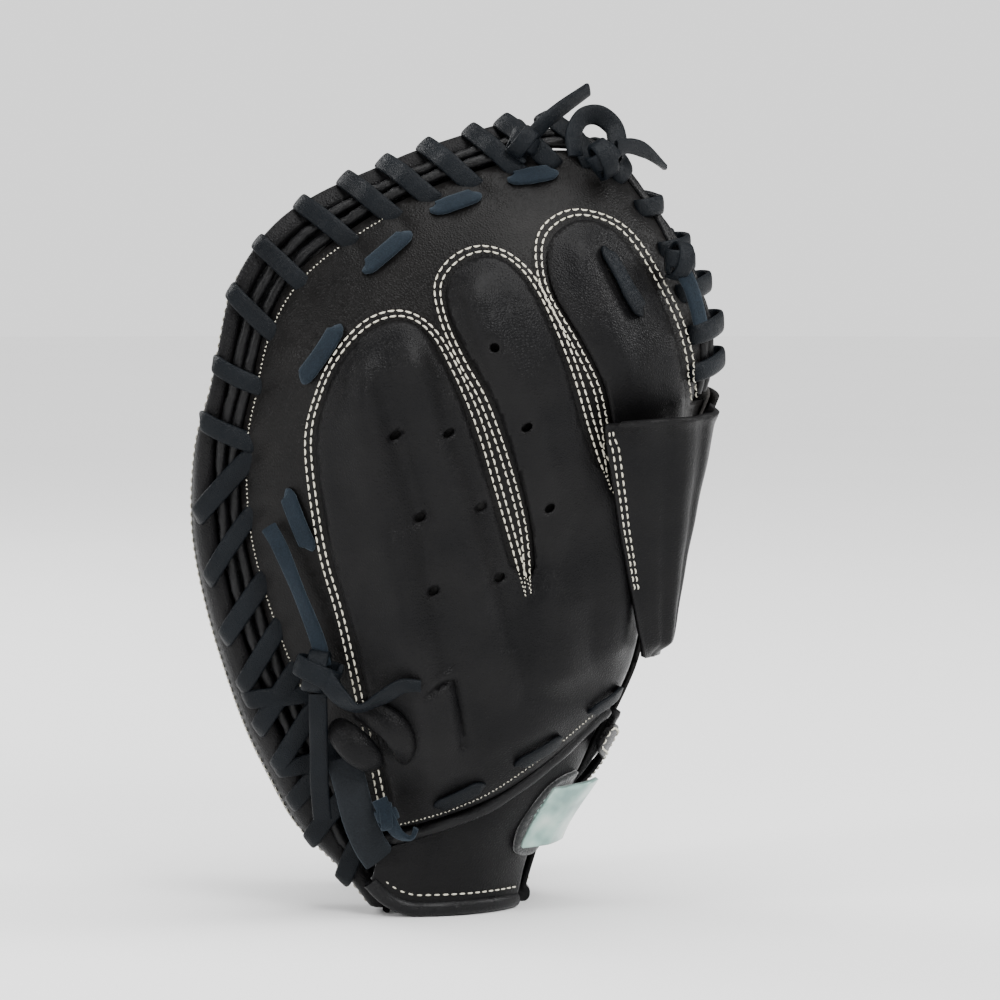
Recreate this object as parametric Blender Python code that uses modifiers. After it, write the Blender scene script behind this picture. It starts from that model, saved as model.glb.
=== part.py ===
"""Padded leather ball mitt for the left hand, standing on its wrist end.

The mitt is folded like a clam.  Seen from above, a contour runs from the finger edge,
round the fold at the back, to the thumb edge.  Every leather, lining and pad is placed
by three numbers in millimetres:
    run     distance along that contour from the fold, positive on the finger side
    height  above the surface that the mitt stands on
    proud   distance out from the contour: positive to the back, negative to the palm
+Z is up to the fingertips, +Y is the back of the hand and +X is the little finger.
"""
import math

import bmesh
import bpy
from mathutils import Vector

MM = 0.001

# The contour: a tight fold, then two nearly flat halves that cup towards the palm.
FOLD_RADIUS = 30.0
FOLD_ANGLE = math.radians(64.0)
FOLD_RUN = FOLD_RADIUS * FOLD_ANGLE
CUP_RADIUS = 900.0
# Where the middle of the whole mitt lies, across and back from the fold's centre line.
MIDDLE_X = 10.35
MIDDLE_Y = 22.5
# How far back the fold's centre lies at each height.
FOLD_LINE = ((0, -15), (30, -7), (60, 13), (93, 29), (125, 41), (157, 51), (189, 64), (213, 75),
             (233, 78), (253, 73), (273, 64), (293, 50), (330, 23))

# Ribs of a half: (run, height) on its laced edge, then where that rib ends at the fold,
# at the hand opening or at the web edge.
FINGER_BACK = ((61, 28, 49, 38), (90, 55, 31, 46), (120, 86, 21, 62), (148, 125, 9, 80),
               (168, 165, 1, 100), (181, 203, 1, 128), (181, 233, 1, 154), (162, 258, 1, 178),
               (129, 278, 2, 200), (93, 292, 5, 224), (62, 301, 8, 250), (33, 308, 12, 276))
FINGER_PALM = ((40, 6, 4, 4), (62, 28, 4, 17), (90, 55, 3, 34), (120, 86, 2, 53)) + FINGER_BACK[3:]
THUMB_BACK = ((60, 24, 47, 37), (82, 50, 31, 46), (102, 80, 23, 62), (118, 115, 14, 80),
              (128, 150, 9, 98), (129, 185, 9, 120), (122, 215, 9, 146), (107, 240, 11, 168),
              (88, 258, 24, 187), (72, 268, 42, 209), (62, 272, 50, 238))
THUMB_PALM = ((40, 6, 9, 4), (61, 24, 9, 17), (82, 50, 9, 34), (102, 80, 9, 55)) + THUMB_BACK[3:]
FINGER_WEB_EDGE = ((33, 308), (19, 307), (10, 299), (8, 288), (8, 262), (6, 235), (3, 212), (2, 206))
THUMB_WEB_EDGE = ((62, 272), (53, 268), (47, 259), (44, 246), (43, 228), (40, 212))
FINGER_OPENING = ((53, 33), (31, 43), (20, 59), (9, 77), (2, 84))
THUMB_OPENING = ((51, 30), (33, 40), (24, 56), (14, 73), (10.5, 82))

LEATHER = 2.4
LINING = 1.2
GAP = 1.2
WELT = 2.1
WELT_PITCH = 5.0
LACE = 1.5
# The lace coil round the welts: half its width and height, and the room it needs.
COIL_WIDE = 8.2
COIL_TALL = 5.8
COIL_ROOM = 10.6
WELT_LEVEL = 4.4
RIM_STEPS = 7
POCKET_STEPS = 5
COIL_STEPS = 8
# Inner face of the palm padding, and the leather that stands on the back panel.
PAD_TOP = -8.0
OVERLAY = LEATHER + 1.6

COLOURS = {
    "leather": ((0.012, 0.012, 0.013), 0.42, 0.0),
    "lining": ((0.045, 0.043, 0.040), 0.75, 0.0),
    "felt": ((0.10, 0.10, 0.095), 0.95, 0.0),
    "welt": ((0.010, 0.010, 0.011), 0.30, 0.0),
    "lace": ((0.018, 0.025, 0.034), 0.62, 0.0),
    "patch": ((0.28, 0.42, 0.36), 0.35, 0.2),
}

for stray in list(bpy.data.objects):
    bpy.data.objects.remove(stray, do_unlink=True)
PARTS = bpy.data.collections.new("baseball_glove")
bpy.context.scene.collection.children.link(PARTS)


def make_material(name):
    colour, roughness, metallic = COLOURS[name]
    material = bpy.data.materials.new(name)
    material.use_nodes = True
    shader = material.node_tree.nodes["Principled BSDF"]
    shader.inputs["Base Color"].default_value = (*colour, 1.0)
    shader.inputs["Roughness"].default_value = roughness
    shader.inputs["Metallic"].default_value = metallic
    return material


MATERIALS = {name: make_material(name) for name in COLOURS}


# ---------------------------------------------------------------- measuring
def smooth_step(value):
    value = min(max(value, 0.0), 1.0)
    return value * value * (3.0 - 2.0 * value)


def spline_at(points, place):
    """Point on a smooth curve through the points; place runs from 0 to len(points) - 1."""
    last = len(points) - 1
    start = min(int(place), last - 1)
    step = place - start
    before = points[max(start - 1, 0)]
    here = points[start]
    there = points[start + 1]
    after = points[min(start + 2, last)]
    result = []
    for a, b, c, d in zip(before, here, there, after):
        slope_in = (c - a) / 2.0
        slope_out = (d - b) / 2.0
        cube = (2.0 * b - 2.0 * c + slope_in + slope_out) * step ** 3
        square = (3.0 * c - 3.0 * b - 2.0 * slope_in - slope_out) * step ** 2
        result.append(cube + square + slope_in * step + b)
    return result


def value_at(table, key):
    """Smooth value from a table of (key, value) pairs."""
    key = min(max(key, table[0][0]), table[-1][0])
    for index in range(len(table) - 1):
        low = table[index]
        high = table[index + 1]
        if key <= high[0]:
            step = (key - low[0]) / (high[0] - low[0])
            return spline_at(table, index + step)[1]
    return table[-1][1]


def mitt_point(run, height, proud):
    """World position in metres of a place given by run, height and proud."""
    side = 1.0 if run >= 0.0 else -1.0
    length = abs(run)
    if length <= FOLD_RUN:
        turn = length / FOLD_RADIUS
        across = FOLD_RADIUS * math.sin(turn)
        back = FOLD_RADIUS * math.cos(turn)
    else:
        turn = FOLD_ANGLE + (length - FOLD_RUN) / CUP_RADIUS
        bend_x = math.sin(turn) - math.sin(FOLD_ANGLE)
        bend_y = math.cos(turn) - math.cos(FOLD_ANGLE)
        across = FOLD_RADIUS * math.sin(FOLD_ANGLE) + CUP_RADIUS * bend_x
        back = FOLD_RADIUS * math.cos(FOLD_ANGLE) + CUP_RADIUS * bend_y
    across += proud * math.sin(turn)
    back += proud * math.cos(turn) + value_at(FOLD_LINE, height)
    return Vector((side * across - MIDDLE_X, back - MIDDLE_Y, height)) * MM


def run_at(across, height, proud=14.0):
    """Run of a place on the finger back, given how far across it looks from square on."""
    beyond = across - math.sin(FOLD_ANGLE) * value_at(FOLD_LINE, height)
    if beyond <= 0.0:
        return FOLD_RUN - beyond
    sine = min(beyond / (FOLD_RADIUS + proud), 1.0)
    return FOLD_RADIUS * (FOLD_ANGLE - math.asin(sine))


def edge_distance(edge, run, height):
    best = 1000.0
    for (run_a, high_a), (run_b, high_b) in zip(edge, edge[1:]):
        span = (run_b - run_a) ** 2 + (high_b - high_a) ** 2
        along = ((run - run_a) * (run_b - run_a) + (height - high_a) * (high_b - high_a)) / span
        along = min(max(along, 0.0), 1.0)
        gap_run = run - run_a - along * (run_b - run_a)
        gap_high = height - high_a - along * (high_b - high_a)
        best = min(best, math.hypot(gap_run, gap_high))
    return best


def edge_of(ribs, web_edge, count=48):
    places = [index * (len(ribs) - 1) / count for index in range(count + 1)]
    along_web = [spline_at(web_edge, place / 4.0) for place in range(1, 4 * len(web_edge) - 3)]
    return [tuple(spline_at(ribs, place)[:2]) for place in places] + along_web


def back_height(edge, run, height):
    """How proud the inside face of the back leather is: low at the lacing, domed between."""
    fold_crown = 15.0 - 5.0 * smooth_step((height - 95.0) / 55.0)
    crown = fold_crown + (28.0 - fold_crown) * smooth_step((run - 5.0) / 75.0)
    reach = min(edge_distance(edge, run, height) / 50.0, 1.0)
    return 4.0 + (crown - 4.0) * math.sin(reach * math.pi / 2.0)


# ---------------------------------------------------------------- building
def finish(part, material, smooth=True):
    part.data.materials.append(MATERIALS[material])
    if smooth:
        part.data.shade_smooth()
        part.data.set_sharp_from_angle(angle=math.radians(50.0))
    PARTS.objects.link(part)
    return part


def panel(name, place, columns, rows, thickness, material):
    """Leather or lining: a grid laid on place(u, v, extra) and thickened outwards."""
    mesh = bpy.data.meshes.new(name)
    grid = bmesh.new()
    bmesh.ops.create_grid(grid, x_segments=columns, y_segments=rows, size=0.5)
    for vertex in grid.verts:
        u = vertex.co.x + 0.5
        v = vertex.co.y + 0.5
        vertex.co = place(u, v, 0.0)
    grid.normal_update()
    grid.faces.ensure_lookup_table()
    outwards = place(0.5, 0.5, 1.0) - place(0.5, 0.5, 0.0)
    nearest = min(grid.faces, key=lambda face: (face.calc_center_median() - place(0.5, 0.5, 0.0)).length)
    if nearest.normal.dot(outwards) < 0.0:
        bmesh.ops.reverse_faces(grid, faces=grid.faces)
    grid.to_mesh(mesh)
    grid.free()
    part = bpy.data.objects.new(name, mesh)
    shell = part.modifiers.new("thickness", "SOLIDIFY")
    shell.thickness = thickness * MM
    shell.offset = 1.0
    return finish(part, material)


def slab(name, place, columns, rows, material):
    """Pad: a block whose two faces are place(u, v, 0) and place(u, v, 1)."""
    mesh = bpy.data.meshes.new(name)
    block = bmesh.new()
    layers = []
    for level in (0.0, 1.0):
        layer = []
        for row in range(rows + 1):
            points = [place(column / columns, row / rows, level) for column in range(columns + 1)]
            layer.append([block.verts.new(point) for point in points])
        layers.append(layer)
    for layer in layers:
        for row in range(rows):
            for column in range(columns):
                low = layer[row]
                high = layer[row + 1]
                block.faces.new((low[column], low[column + 1], high[column + 1], high[column]))
    lower, upper = layers
    rim = [(0, column) for column in range(columns)] + [(row, columns) for row in range(rows)]
    rim += [(rows, columns - column) for column in range(columns)]
    rim += [(rows - row, 0) for row in range(rows)]
    for (row_a, col_a), (row_b, col_b) in zip(rim, rim[1:] + rim[:1]):
        wall = (lower[row_a][col_a], lower[row_b][col_b], upper[row_b][col_b], upper[row_a][col_a])
        block.faces.new(wall)
    bmesh.ops.recalc_face_normals(block, faces=block.faces)
    block.to_mesh(mesh)
    block.free()
    return finish(bpy.data.objects.new(name, mesh), material)


def tube(name, points, radius, material, sides=1, radii=None):
    """Lace, welt or binding: a poly curve with a round bevel and filled caps."""
    curve = bpy.data.curves.new(name, "CURVE")
    curve.dimensions = "3D"
    curve.bevel_depth = radius * MM
    curve.bevel_resolution = sides
    curve.use_fill_caps = True
    spline = curve.splines.new("POLY")
    spline.points.add(len(points) - 1)
    for index, point in enumerate(points):
        spline.points[index].co = (*point, 1.0)
        if radii:
            spline.points[index].radius = radii[index]
    part = bpy.data.objects.new(name, curve)
    curve.materials.append(MATERIALS[material])
    PARTS.objects.link(part)
    return part


def knot(name, run, height, proud, size):
    """Pulled-up lace knot: a squashed ball."""
    mesh = bpy.data.meshes.new(name)
    ball = bmesh.new()
    bmesh.ops.create_uvsphere(ball, u_segments=10, v_segments=6, radius=1.0)
    for vertex in ball.verts:
        vertex.co.x *= size[0] * MM
        vertex.co.y *= size[1] * MM
        vertex.co.z *= size[2] * MM
    ball.to_mesh(mesh)
    ball.free()
    part = bpy.data.objects.new(name, mesh)
    part.location = mitt_point(run, height, proud)
    return finish(part, "lace")


# ---------------------------------------------------------------- the two halves
class Half:
    """The ribs, the side and the edge of one half of the mitt."""

    def __init__(self, side, back_ribs, palm_ribs, web_edge, web_share, opening):
        self.side = side
        self.back_ribs = back_ribs
        self.palm_ribs = palm_ribs
        self.edge = edge_of(back_ribs, web_edge)
        self.web_share = web_share
        self.opening = opening

    def point(self, run, height, proud):
        return mitt_point(self.side * run, max(height, 0.5), proud)

    def rib(self, ribs, u):
        out_run, out_high, in_run, in_high = spline_at(ribs, u * (len(ribs) - 1))
        return Vector((out_run, out_high)), Vector((in_run, in_high))

    def outward(self, ribs, u):
        ahead = self.rib(ribs, min(u + 0.01, 1.0))[0]
        behind = self.rib(ribs, max(u - 0.01, 0.0))[0]
        along = (ahead - behind).normalized()
        return Vector((along.y, -along.x))

    def back(self, lift):
        """Surface of the back leather; lift moves it out.  It stops short of the lace coil."""
        def place(u, v, extra):
            edge, inner = self.rib(self.back_ribs, u)
            rib = (inner - edge).normalized()
            web_room = (COIL_ROOM - 1.0) * smooth_step((u - self.web_share) / 0.08)
            near = edge + rib * COIL_ROOM
            far = inner - rib * (2.0 + web_room)
            spot = near.lerp(far, v)
            return self.point(spot.x, spot.y, back_height(self.edge, spot.x, spot.y) + lift + extra)
        return place

    def rim_size(self, u):
        """How thick the padded rim is along the edge, as a share of its fullest."""
        grow = smooth_step(u / 0.22)
        fade = smooth_step((u - 0.55) / 0.32)
        return 0.42 + 0.58 * grow - 0.56 * fade

    def rim_profile(self, u, reach):
        """Palm rim seen in section: (distance out from the edge, proud)."""
        size = self.rim_size(u)
        inward = min(34.0 * size, 0.5 * reach)
        return ((15.2, 5.0), (14.4 + 3.2 * size, 1.5), (12.2 + 7.4 * size, -9.0),
                (11.6 + 6.0 * size, -4.0 - 17.0 * size),
                (9.0, -6.0 - 25.0 * size), (-3.0, -7.0 - 28.0 * size),
                (-0.55 * inward - 3.0, -8.0 - 23.0 * size), (-inward - 4.0, -10.0 - 9.0 * size))

    def palm(self, lift):
        """Surface of the palm leather, from under the lacing over the padded rim to the fold."""
        def place(u, v, extra):
            edge, inner = self.rib(self.palm_ribs, u)
            inward = (inner - edge).normalized()
            profile = self.rim_profile(u, (inner - edge).length)
            step = v * (RIM_STEPS + POCKET_STEPS)
            if step <= RIM_STEPS:
                out, proud = spline_at(profile, step)
                spot = edge + (self.outward(self.palm_ribs, u) * out if out > 0.0 else inward * -out)
            else:
                out, proud = profile[-1]
                share = (step - RIM_STEPS) / POCKET_STEPS
                spot = (edge + inward * -out).lerp(inner, share)
                floor = -15.0 - 4.0 * smooth_step((spot.x - 40.0) / 60.0)
                proud += (floor - proud) * smooth_step(share * 2.0)
            return self.point(spot.x, spot.y, proud + lift + extra)
        return place

    def pad(self, first, last, top):
        """Padding on the palm leather between two ribs, up to a flat inner face."""
        pocket = self.palm(LEATHER + GAP)

        def place(u, v, level):
            along = first + (last - first) * u
            down = (RIM_STEPS + POCKET_STEPS * v) / (RIM_STEPS + POCKET_STEPS)
            low = pocket(along, down, 0.0)
            lift = top - self.depth(along, down) - LEATHER - GAP
            return pocket(along, down, lift * level)
        return place

    def inner_skin(self, first, last):
        """Lining on the inner face of the palm padding."""
        pocket = self.palm(0.0)

        def place(u, v, level):
            along = first + (last - first) * u
            down = (RIM_STEPS + POCKET_STEPS * v) / (RIM_STEPS + POCKET_STEPS)
            return pocket(along, down, PAD_TOP - self.depth(along, down) + 1.0 + LINING * level)
        return place

    def depth(self, u, v):
        """How proud the palm leather is on the pocket part of a rib."""
        edge, inner = self.rib(self.palm_ribs, u)
        profile = self.rim_profile(u, (inner - edge).length)
        share = v * (RIM_STEPS + POCKET_STEPS) / POCKET_STEPS - RIM_STEPS / POCKET_STEPS
        out, proud = profile[-1]
        inward = (inner - edge).normalized()
        run = (edge + inward * -out).lerp(inner, share).x
        floor = -15.0 - 4.0 * smooth_step((run - 40.0) / 60.0)
        return proud + (floor - proud) * smooth_step(share * 2.0)

    def edge_spot(self, share):
        """Run and height at a share of the way along the laced edge."""
        lengths = self.edge_lengths()
        goal = share * lengths[-1]
        spot = 0
        while spot < len(self.edge) - 2 and lengths[spot + 1] < goal:
            spot += 1
        step = (goal - lengths[spot]) / (lengths[spot + 1] - lengths[spot])
        return Vector(self.edge[spot]).lerp(Vector(self.edge[spot + 1]), step)

    def edge_place(self, share):
        """Run and height on the laced edge, and the direction out from it."""
        along = (self.edge_spot(share + 0.012) - self.edge_spot(share - 0.012)).normalized()
        return self.edge_spot(share), Vector((along.y, -along.x))

    def edge_lengths(self):
        lengths = [0.0]
        for (run_a, high_a), (run_b, high_b) in zip(self.edge, self.edge[1:]):
            lengths.append(lengths[-1] + math.hypot(run_b - run_a, high_b - high_a))
        return lengths

    def edge_line(self, out, proud, count):
        points = []
        for index in range(count + 1):
            centre, outward = self.edge_place(0.013 + 0.974 * index / count)
            spot = centre + outward * out
            points.append(self.point(spot.x, spot.y, proud))
        return points

    def coil(self, turns):
        """Points of the edge lace, one coil round both welts."""
        points = []
        for index in range(turns * COIL_STEPS + 1):
            centre, outward = self.edge_place(0.02 + 0.96 * index / (turns * COIL_STEPS))
            angle = 2.0 * math.pi * index / COIL_STEPS
            spot = centre + outward * (WELT_PITCH / 2.0 + COIL_WIDE * math.cos(angle))
            points.append(self.point(spot.x, spot.y, WELT_LEVEL + COIL_TALL * math.sin(angle)))
        return points


FINGER = Half(1.0, FINGER_BACK, FINGER_PALM, FINGER_WEB_EDGE, 0.60, FINGER_OPENING)
THUMB = Half(-1.0, THUMB_BACK, THUMB_PALM, THUMB_WEB_EDGE, 0.66, THUMB_OPENING)


def build_half(half, label, turns, columns, rows):
    panel(label + "_lining", half.back(-LINING - GAP), columns, rows, LINING, "lining")
    panel(label + "_palm_leather", half.palm(0.0), columns, RIM_STEPS + POCKET_STEPS, LEATHER, "leather")
    heel_columns = columns // 5
    heel_end = heel_columns / columns
    slab(label + "_heel_pad", half.pad(0.005, heel_end, PAD_TOP), heel_columns, POCKET_STEPS, "felt")
    slab(label + "_palm_pad", half.pad(heel_end + 0.01, 0.99, PAD_TOP), columns, POCKET_STEPS, "felt")
    slab(label + "_palm_lining", half.inner_skin(heel_end + 0.01, 0.99), columns, POCKET_STEPS, "lining")
    roll = []
    sizes = []
    for index in range(columns + 1):
        u = 0.015 + 0.97 * index / columns
        size = half.rim_size(u)
        spot = half.rib(half.palm_ribs, u)[0] + half.outward(half.palm_ribs, u) * (3.0 + 0.5 * size)
        roll.append(half.point(spot.x, max(spot.y, 6.0), -5.2 - 13.0 * size))
        sizes.append(0.5 + size * 8.0)
    tube(label + "_rim_roll", roll, 1.0, "felt", sides=1, radii=sizes)
    tube(label + "_welt_inner", half.edge_line(0.0, WELT_LEVEL, 46), WELT, "welt")
    tube(label + "_welt_outer", half.edge_line(WELT_PITCH, WELT_LEVEL, 46), WELT, "welt")
    tube(label + "_edge_lace", half.coil(turns), LACE, "lace", sides=0)


panel("outer_back_panel", FINGER.back(0.0), 20, 8, LEATHER, "leather")
build_half(FINGER, "finger", 26, 20, 8)
panel("thumb_back_panel", THUMB.back(0.0), 14, 6, LEATHER, "leather")
build_half(THUMB, "thumb", 19, 14, 6)


# ---------------------------------------------------------------- the finger stalls
def finger_back(run, height):
    return back_height(FINGER.edge, run, height)


def on_back(across, height, lift):
    """Place on the finger back, seen square on, lifted off the back leather."""
    run = run_at(across, height)
    return mitt_point(run, height, finger_back(run, height) + lift)


def stall(name, left, right, shoulder, bulge, rows):
    """A finger's own leather: a tongue with a round top, domed over the finger."""
    bottom = left[0][0]
    top = left[-1][0]

    def place(u, v, extra):
        height = bottom + (top - bottom) * math.sin(v * math.pi / 2.0)
        low = value_at(left, height)
        high = value_at(right, height)
        narrow = max(height - shoulder, 0.0) / (top - shoulder)
        width = math.sqrt(max(1.0 - narrow * narrow, 0.05))
        middle = (low + high) / 2.0
        across = middle + (high - low) * (u - 0.5) * width
        dome = bulge * math.sin(u * math.pi) * min(1.0, (1.0 - v) * 4.0)
        return on_back(across, height, OVERLAY + dome + extra)
    panel(name, place, 7, rows, LEATHER, "leather")


stall("pinky_ring_stall", ((56, -26), (90, -35), (118, -41), (158, -50), (185, -54), (200, -53), (243, -48)),
      ((56, 14), (90, 21), (118, 25), (127, 26), (143, 22), (171, 14), (199, 6), (243, -4)), 203.0, 5.0, 12)
stall("middle_stall", ((80, 23), (118, 30), (127, 31), (139, 31), (169, 27), (198, 18), (222, 8), (266, -8)),
      ((80, 56), (118, 56), (169, 55), (184, 53), (200, 50), (214, 46), (223, 42), (266, 34)), 236.0, 4.0, 12)
stall("index_stall", ((172, 63), (191, 59), (216, 54), (232, 46), (250, 39), (280, 34)),
      ((172, 82), (191, 84), (207, 86), (231, 82), (250, 74), (280, 64)), 250.0, 2.5, 9)


def hood(u, v, extra):
    """Pad that covers the index finger outside the mitt: sewn at its left, open on top."""
    height = 104.0 + 94.0 * v
    seam = run_at(value_at(((104, 66), (132, 64), (160, 60), (198, 57)), height), height)
    run = seam + (3.0 + 3.0 * v - seam) * u
    room = 22.0 * v * math.sin(u * math.pi) ** 1.5
    return mitt_point(run, height, finger_back(run, height) + 9.6 + room + extra)


panel("finger_pad", hood, 8, 6, LEATHER, "leather")


def strip(name, points, width, thickness, lift, steps):
    """Flat lace or strap that lies along (across, height) points on the finger back."""
    def place(u, v, extra):
        here = Vector(spline_at(points, u * (len(points) - 1)))
        ahead = Vector(spline_at(points, min(u + 0.02, 1.0) * (len(points) - 1)))
        behind = Vector(spline_at(points, max(u - 0.02, 0.0) * (len(points) - 1)))
        along = (ahead - behind).normalized()
        spot = here + Vector((-along.y, along.x)) * width * (v - 0.5)
        return on_back(spot.x, spot.y, lift + extra)
    panel(name, place, steps, 2, thickness, "lace")


RUNNING_LACE = ((-56, 151), (-64, 172), (-62, 196), (-57, 216), (-46, 236), (-34, 257), (-18, 271), (-4, 281),
                (9, 287), (23, 293), (38, 297))
strip("running_lace", RUNNING_LACE, 7.0, 1.8, LEATHER + 1.6, 20)
strip("index_lace", ((57, 265), (59, 255), (65, 246), (70, 241)), 5.5, 1.8, 2.0 * LEATHER + 5.2, 4)
strip("opening_lace", ((-8, 47), (10, 55), (24, 64), (37, 73), (46, 83), (56, 91)), 5.5, 1.8,
      2.0 * LEATHER + 7.6, 9)


# ---------------------------------------------------------------- wrist: binding, strap, closure
def opening_line(half, first, count):
    points = []
    for index in range(count + 1):
        run, height = spline_at(half.opening, (len(half.opening) - 1) * index / count)
        run = max(run, first)
        points.append(half.point(run, height - 2.4, back_height(half.edge, run, height) + 1.2))
    return points


def strap_top(half, run):
    """Upper edge of the wrist strap, just below the hand opening's binding."""
    return value_at(tuple(reversed(half.opening)), run) - 7.4


def strap_rise(run):
    """How far the strap's lower edge has curved up at its outer end."""
    return STRAP_CURVE * max((run - 34.0) / 20.0, 0.0) ** 2


def strap_face(half, first, proud, lift, drop):
    def place(u, v, extra):
        run = first + (54.0 - first) * u
        low = lift + strap_rise(run)
        top = strap_top(half, run) - drop
        return half.point(run, low + (top - low) * v, proud + extra)
    return place


def strap_band(half, first):
    def place(u, v, level):
        run = first + (55.0 - first) * u
        return mitt_point(half.side * run, strap_rise(run) + BAND_TALL * v, STRAP - 4.0 + 8.4 * level)
    return place


BAND_TALL = 6.6
STRAP = 13.0
STRAP_CURVE = 10.0
for half, label, first in ((FINGER, "finger", 1.2), (THUMB, "thumb", 10.2)):
    tube(label + "_opening_binding", opening_line(half, first + 0.8, 14), 2.4, "welt")
    panel(label + "_wrist_strap", strap_face(half, first, STRAP, 7.6, 0.0), 9, 3, LEATHER, "leather")
    panel(label + "_strap_lining", strap_face(half, first, STRAP - 3.4, 8.6, 3.0), 9, 3, 2.0, "felt")
    slab(label + "_strap_binding", strap_band(half, first), 9, 1, "welt")


def closure(first, last, proud):
    """Slanting closure strap below the hand opening, from run first to run last."""
    def place(u, v, extra):
        run = first + (last - first) * u
        middle = strap_top(THUMB, max(abs(run), 10.0)) - 8.5 + 0.4 * max(10.0 - abs(run), 0.0)
        return mitt_point(run, middle + 13.0 * (v - 0.5), proud + extra)
    return place


panel("closure_strap", closure(-43.0, -21.0, STRAP + LEATHER + 1.8), 6, 2, LEATHER, "leather")
panel("closure_tab", closure(-19.0, 3.0, STRAP + LEATHER + 3.6), 5, 2, LEATHER, "leather")
panel("closure_hook_tape", closure(-16.5, -11.0, STRAP + LEATHER + 0.7), 2, 2, 1.2, "felt")


def patch(first, last, low, high, proud):
    def place(u, v, extra):
        return mitt_point(first + (last - first) * u, low + (high - low) * v, proud + extra)
    return place


panel("patch_backing", patch(12.0, -6.0, 24.0, 54.5, STRAP + LEATHER + 1.8), 4, 3, 1.6, "felt")
panel("strap_patch", patch(10.0, -5.5, 26.0, 52.5, STRAP + LEATHER + 5.0), 4, 3, 2.2, "patch")


# ---------------------------------------------------------------- web and thumb
def web(u, v, extra):
    """One-piece web in the fold, from the finger edge's lacing to the thumb edge's."""
    run = -15.0 - 14.0 * u
    low = 204.0 + 8.0 * u
    high = 286.0 - 16.0 * u
    return mitt_point(run, low + (high - low) * v, -1.2 + extra)


panel("web_panel", web, 4, 6, LEATHER, "leather")
tube("web_lace", [mitt_point(-22.0, 216.0 + 6.0 * step, 4.6) for step in range(10)], 2.0, "lace", sides=0)


def thumb_stall(u, v, extra):
    """The thumb's own leather on the thumb back."""
    height = 84.0 + 126.0 * math.sin(v * math.pi / 2.0)
    narrow = max(height - 180.0, 0.0) / 30.0
    width = math.sqrt(max(1.0 - narrow * narrow, 0.05))
    run = 62.0 + 0.12 * (height - 84.0) + 44.0 * (u - 0.5) * width
    dome = 4.0 * math.sin(u * math.pi) * min(1.0, (1.0 - v) * 4.0)
    proud = back_height(THUMB.edge, run, height) + OVERLAY + dome
    return mitt_point(-run, height, proud + extra)


panel("thumb_stall", thumb_stall, 6, 9, LEATHER, "leather")


# ---------------------------------------------------------------- knots and free lace ends
def back_route(points, count):
    """World points of a lace on the finger back, through (across, height, proud) places."""
    places = [index * (len(points) - 1) / count for index in range(count + 1)]
    spots = [spline_at(points, place) for place in places]
    return [mitt_point(run_at(across, height, proud), height, proud) for across, height, proud in spots]


def back_knot(name, across, height, proud, size):
    knot(name, run_at(across, height, proud), height, proud, size)


back_knot("top_knot", 57, 303, 22, (7, 7, 6))
tube("top_loop", back_route(((50, 312, 20), (47, 320, 20), (54, 327, 20), (63, 321, 20), (63, 312, 20)), 12),
     2.4, "lace", sides=0)
curl = [(31.0 - 6.0 * math.cos(turn * 0.5), 311.0 + 6.0 * math.sin(turn * 0.5), 17.0 + 0.2 * turn)
        for turn in range(11)]
tube("top_curl", back_route(curl, 12), 2.2, "lace", sides=0)
tube("top_tail_left", back_route(((34, 321, 14), (42, 325, 14), (53, 329, 11)), 6), 2.2, "lace", sides=0)
tube("top_tail_right", back_route(((68, 306, 22), (75, 305, 20), (83, 299, 17)), 6), 2.2, "lace", sides=0)
back_knot("side_knot", 87, 262, 20, (6, 6, 6))
tube("side_tail", back_route(((90, 253, 19), (93, 247, 19), (95, 240, 18)), 5), 2.2, "lace", sides=0)
back_knot("heel_knot", -56, 101, 29, (7, 7, 8))
tube("heel_strand", back_route(((-68, 155, 26), (-62, 133, 27), (-55, 113, 26)), 8), 1.8, "lace", sides=0)
HEEL_TAIL = ((-56, 91, 29), (-56, 82, 28), (-56, 70, 24), (-56, 56, 22), (-55, 41, 20))
tube("heel_tail", back_route(HEEL_TAIL, 14), 2.4, "lace", sides=0)
tube("heel_tail_loop",
     back_route(((-44, 102, 34), (-37, 98, 38), (-34, 90, 40), (-25, 90, 42), (-13, 94, 43)), 12),
     2.2, "lace", sides=0)
strip("heel_strap", ((-35, 59), (-31, 46), (-28, 36)), 10.0, 2.0, LEATHER + 1.6, 4)
tube("heel_roll", back_route(((-45, 76, 27), (-38, 72, 30), (-30, 66, 32), (-25, 60, 31)), 8), 3.6, "leather")
back_knot("curl_knot", -24, 41, 27, (5, 5, 4))
tube("curl_tail", back_route(((-18, 41, 27), (-13, 39, 27), (-10, 35, 26)), 5), 1.8, "lace", sides=0)
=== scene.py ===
"""Looks of the padded ball mitt: leather, lacing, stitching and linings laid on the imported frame."""
import math
import random

import bpy
import numpy as np
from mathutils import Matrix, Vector
from mathutils.geometry import delaunay_2d_cdt


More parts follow.
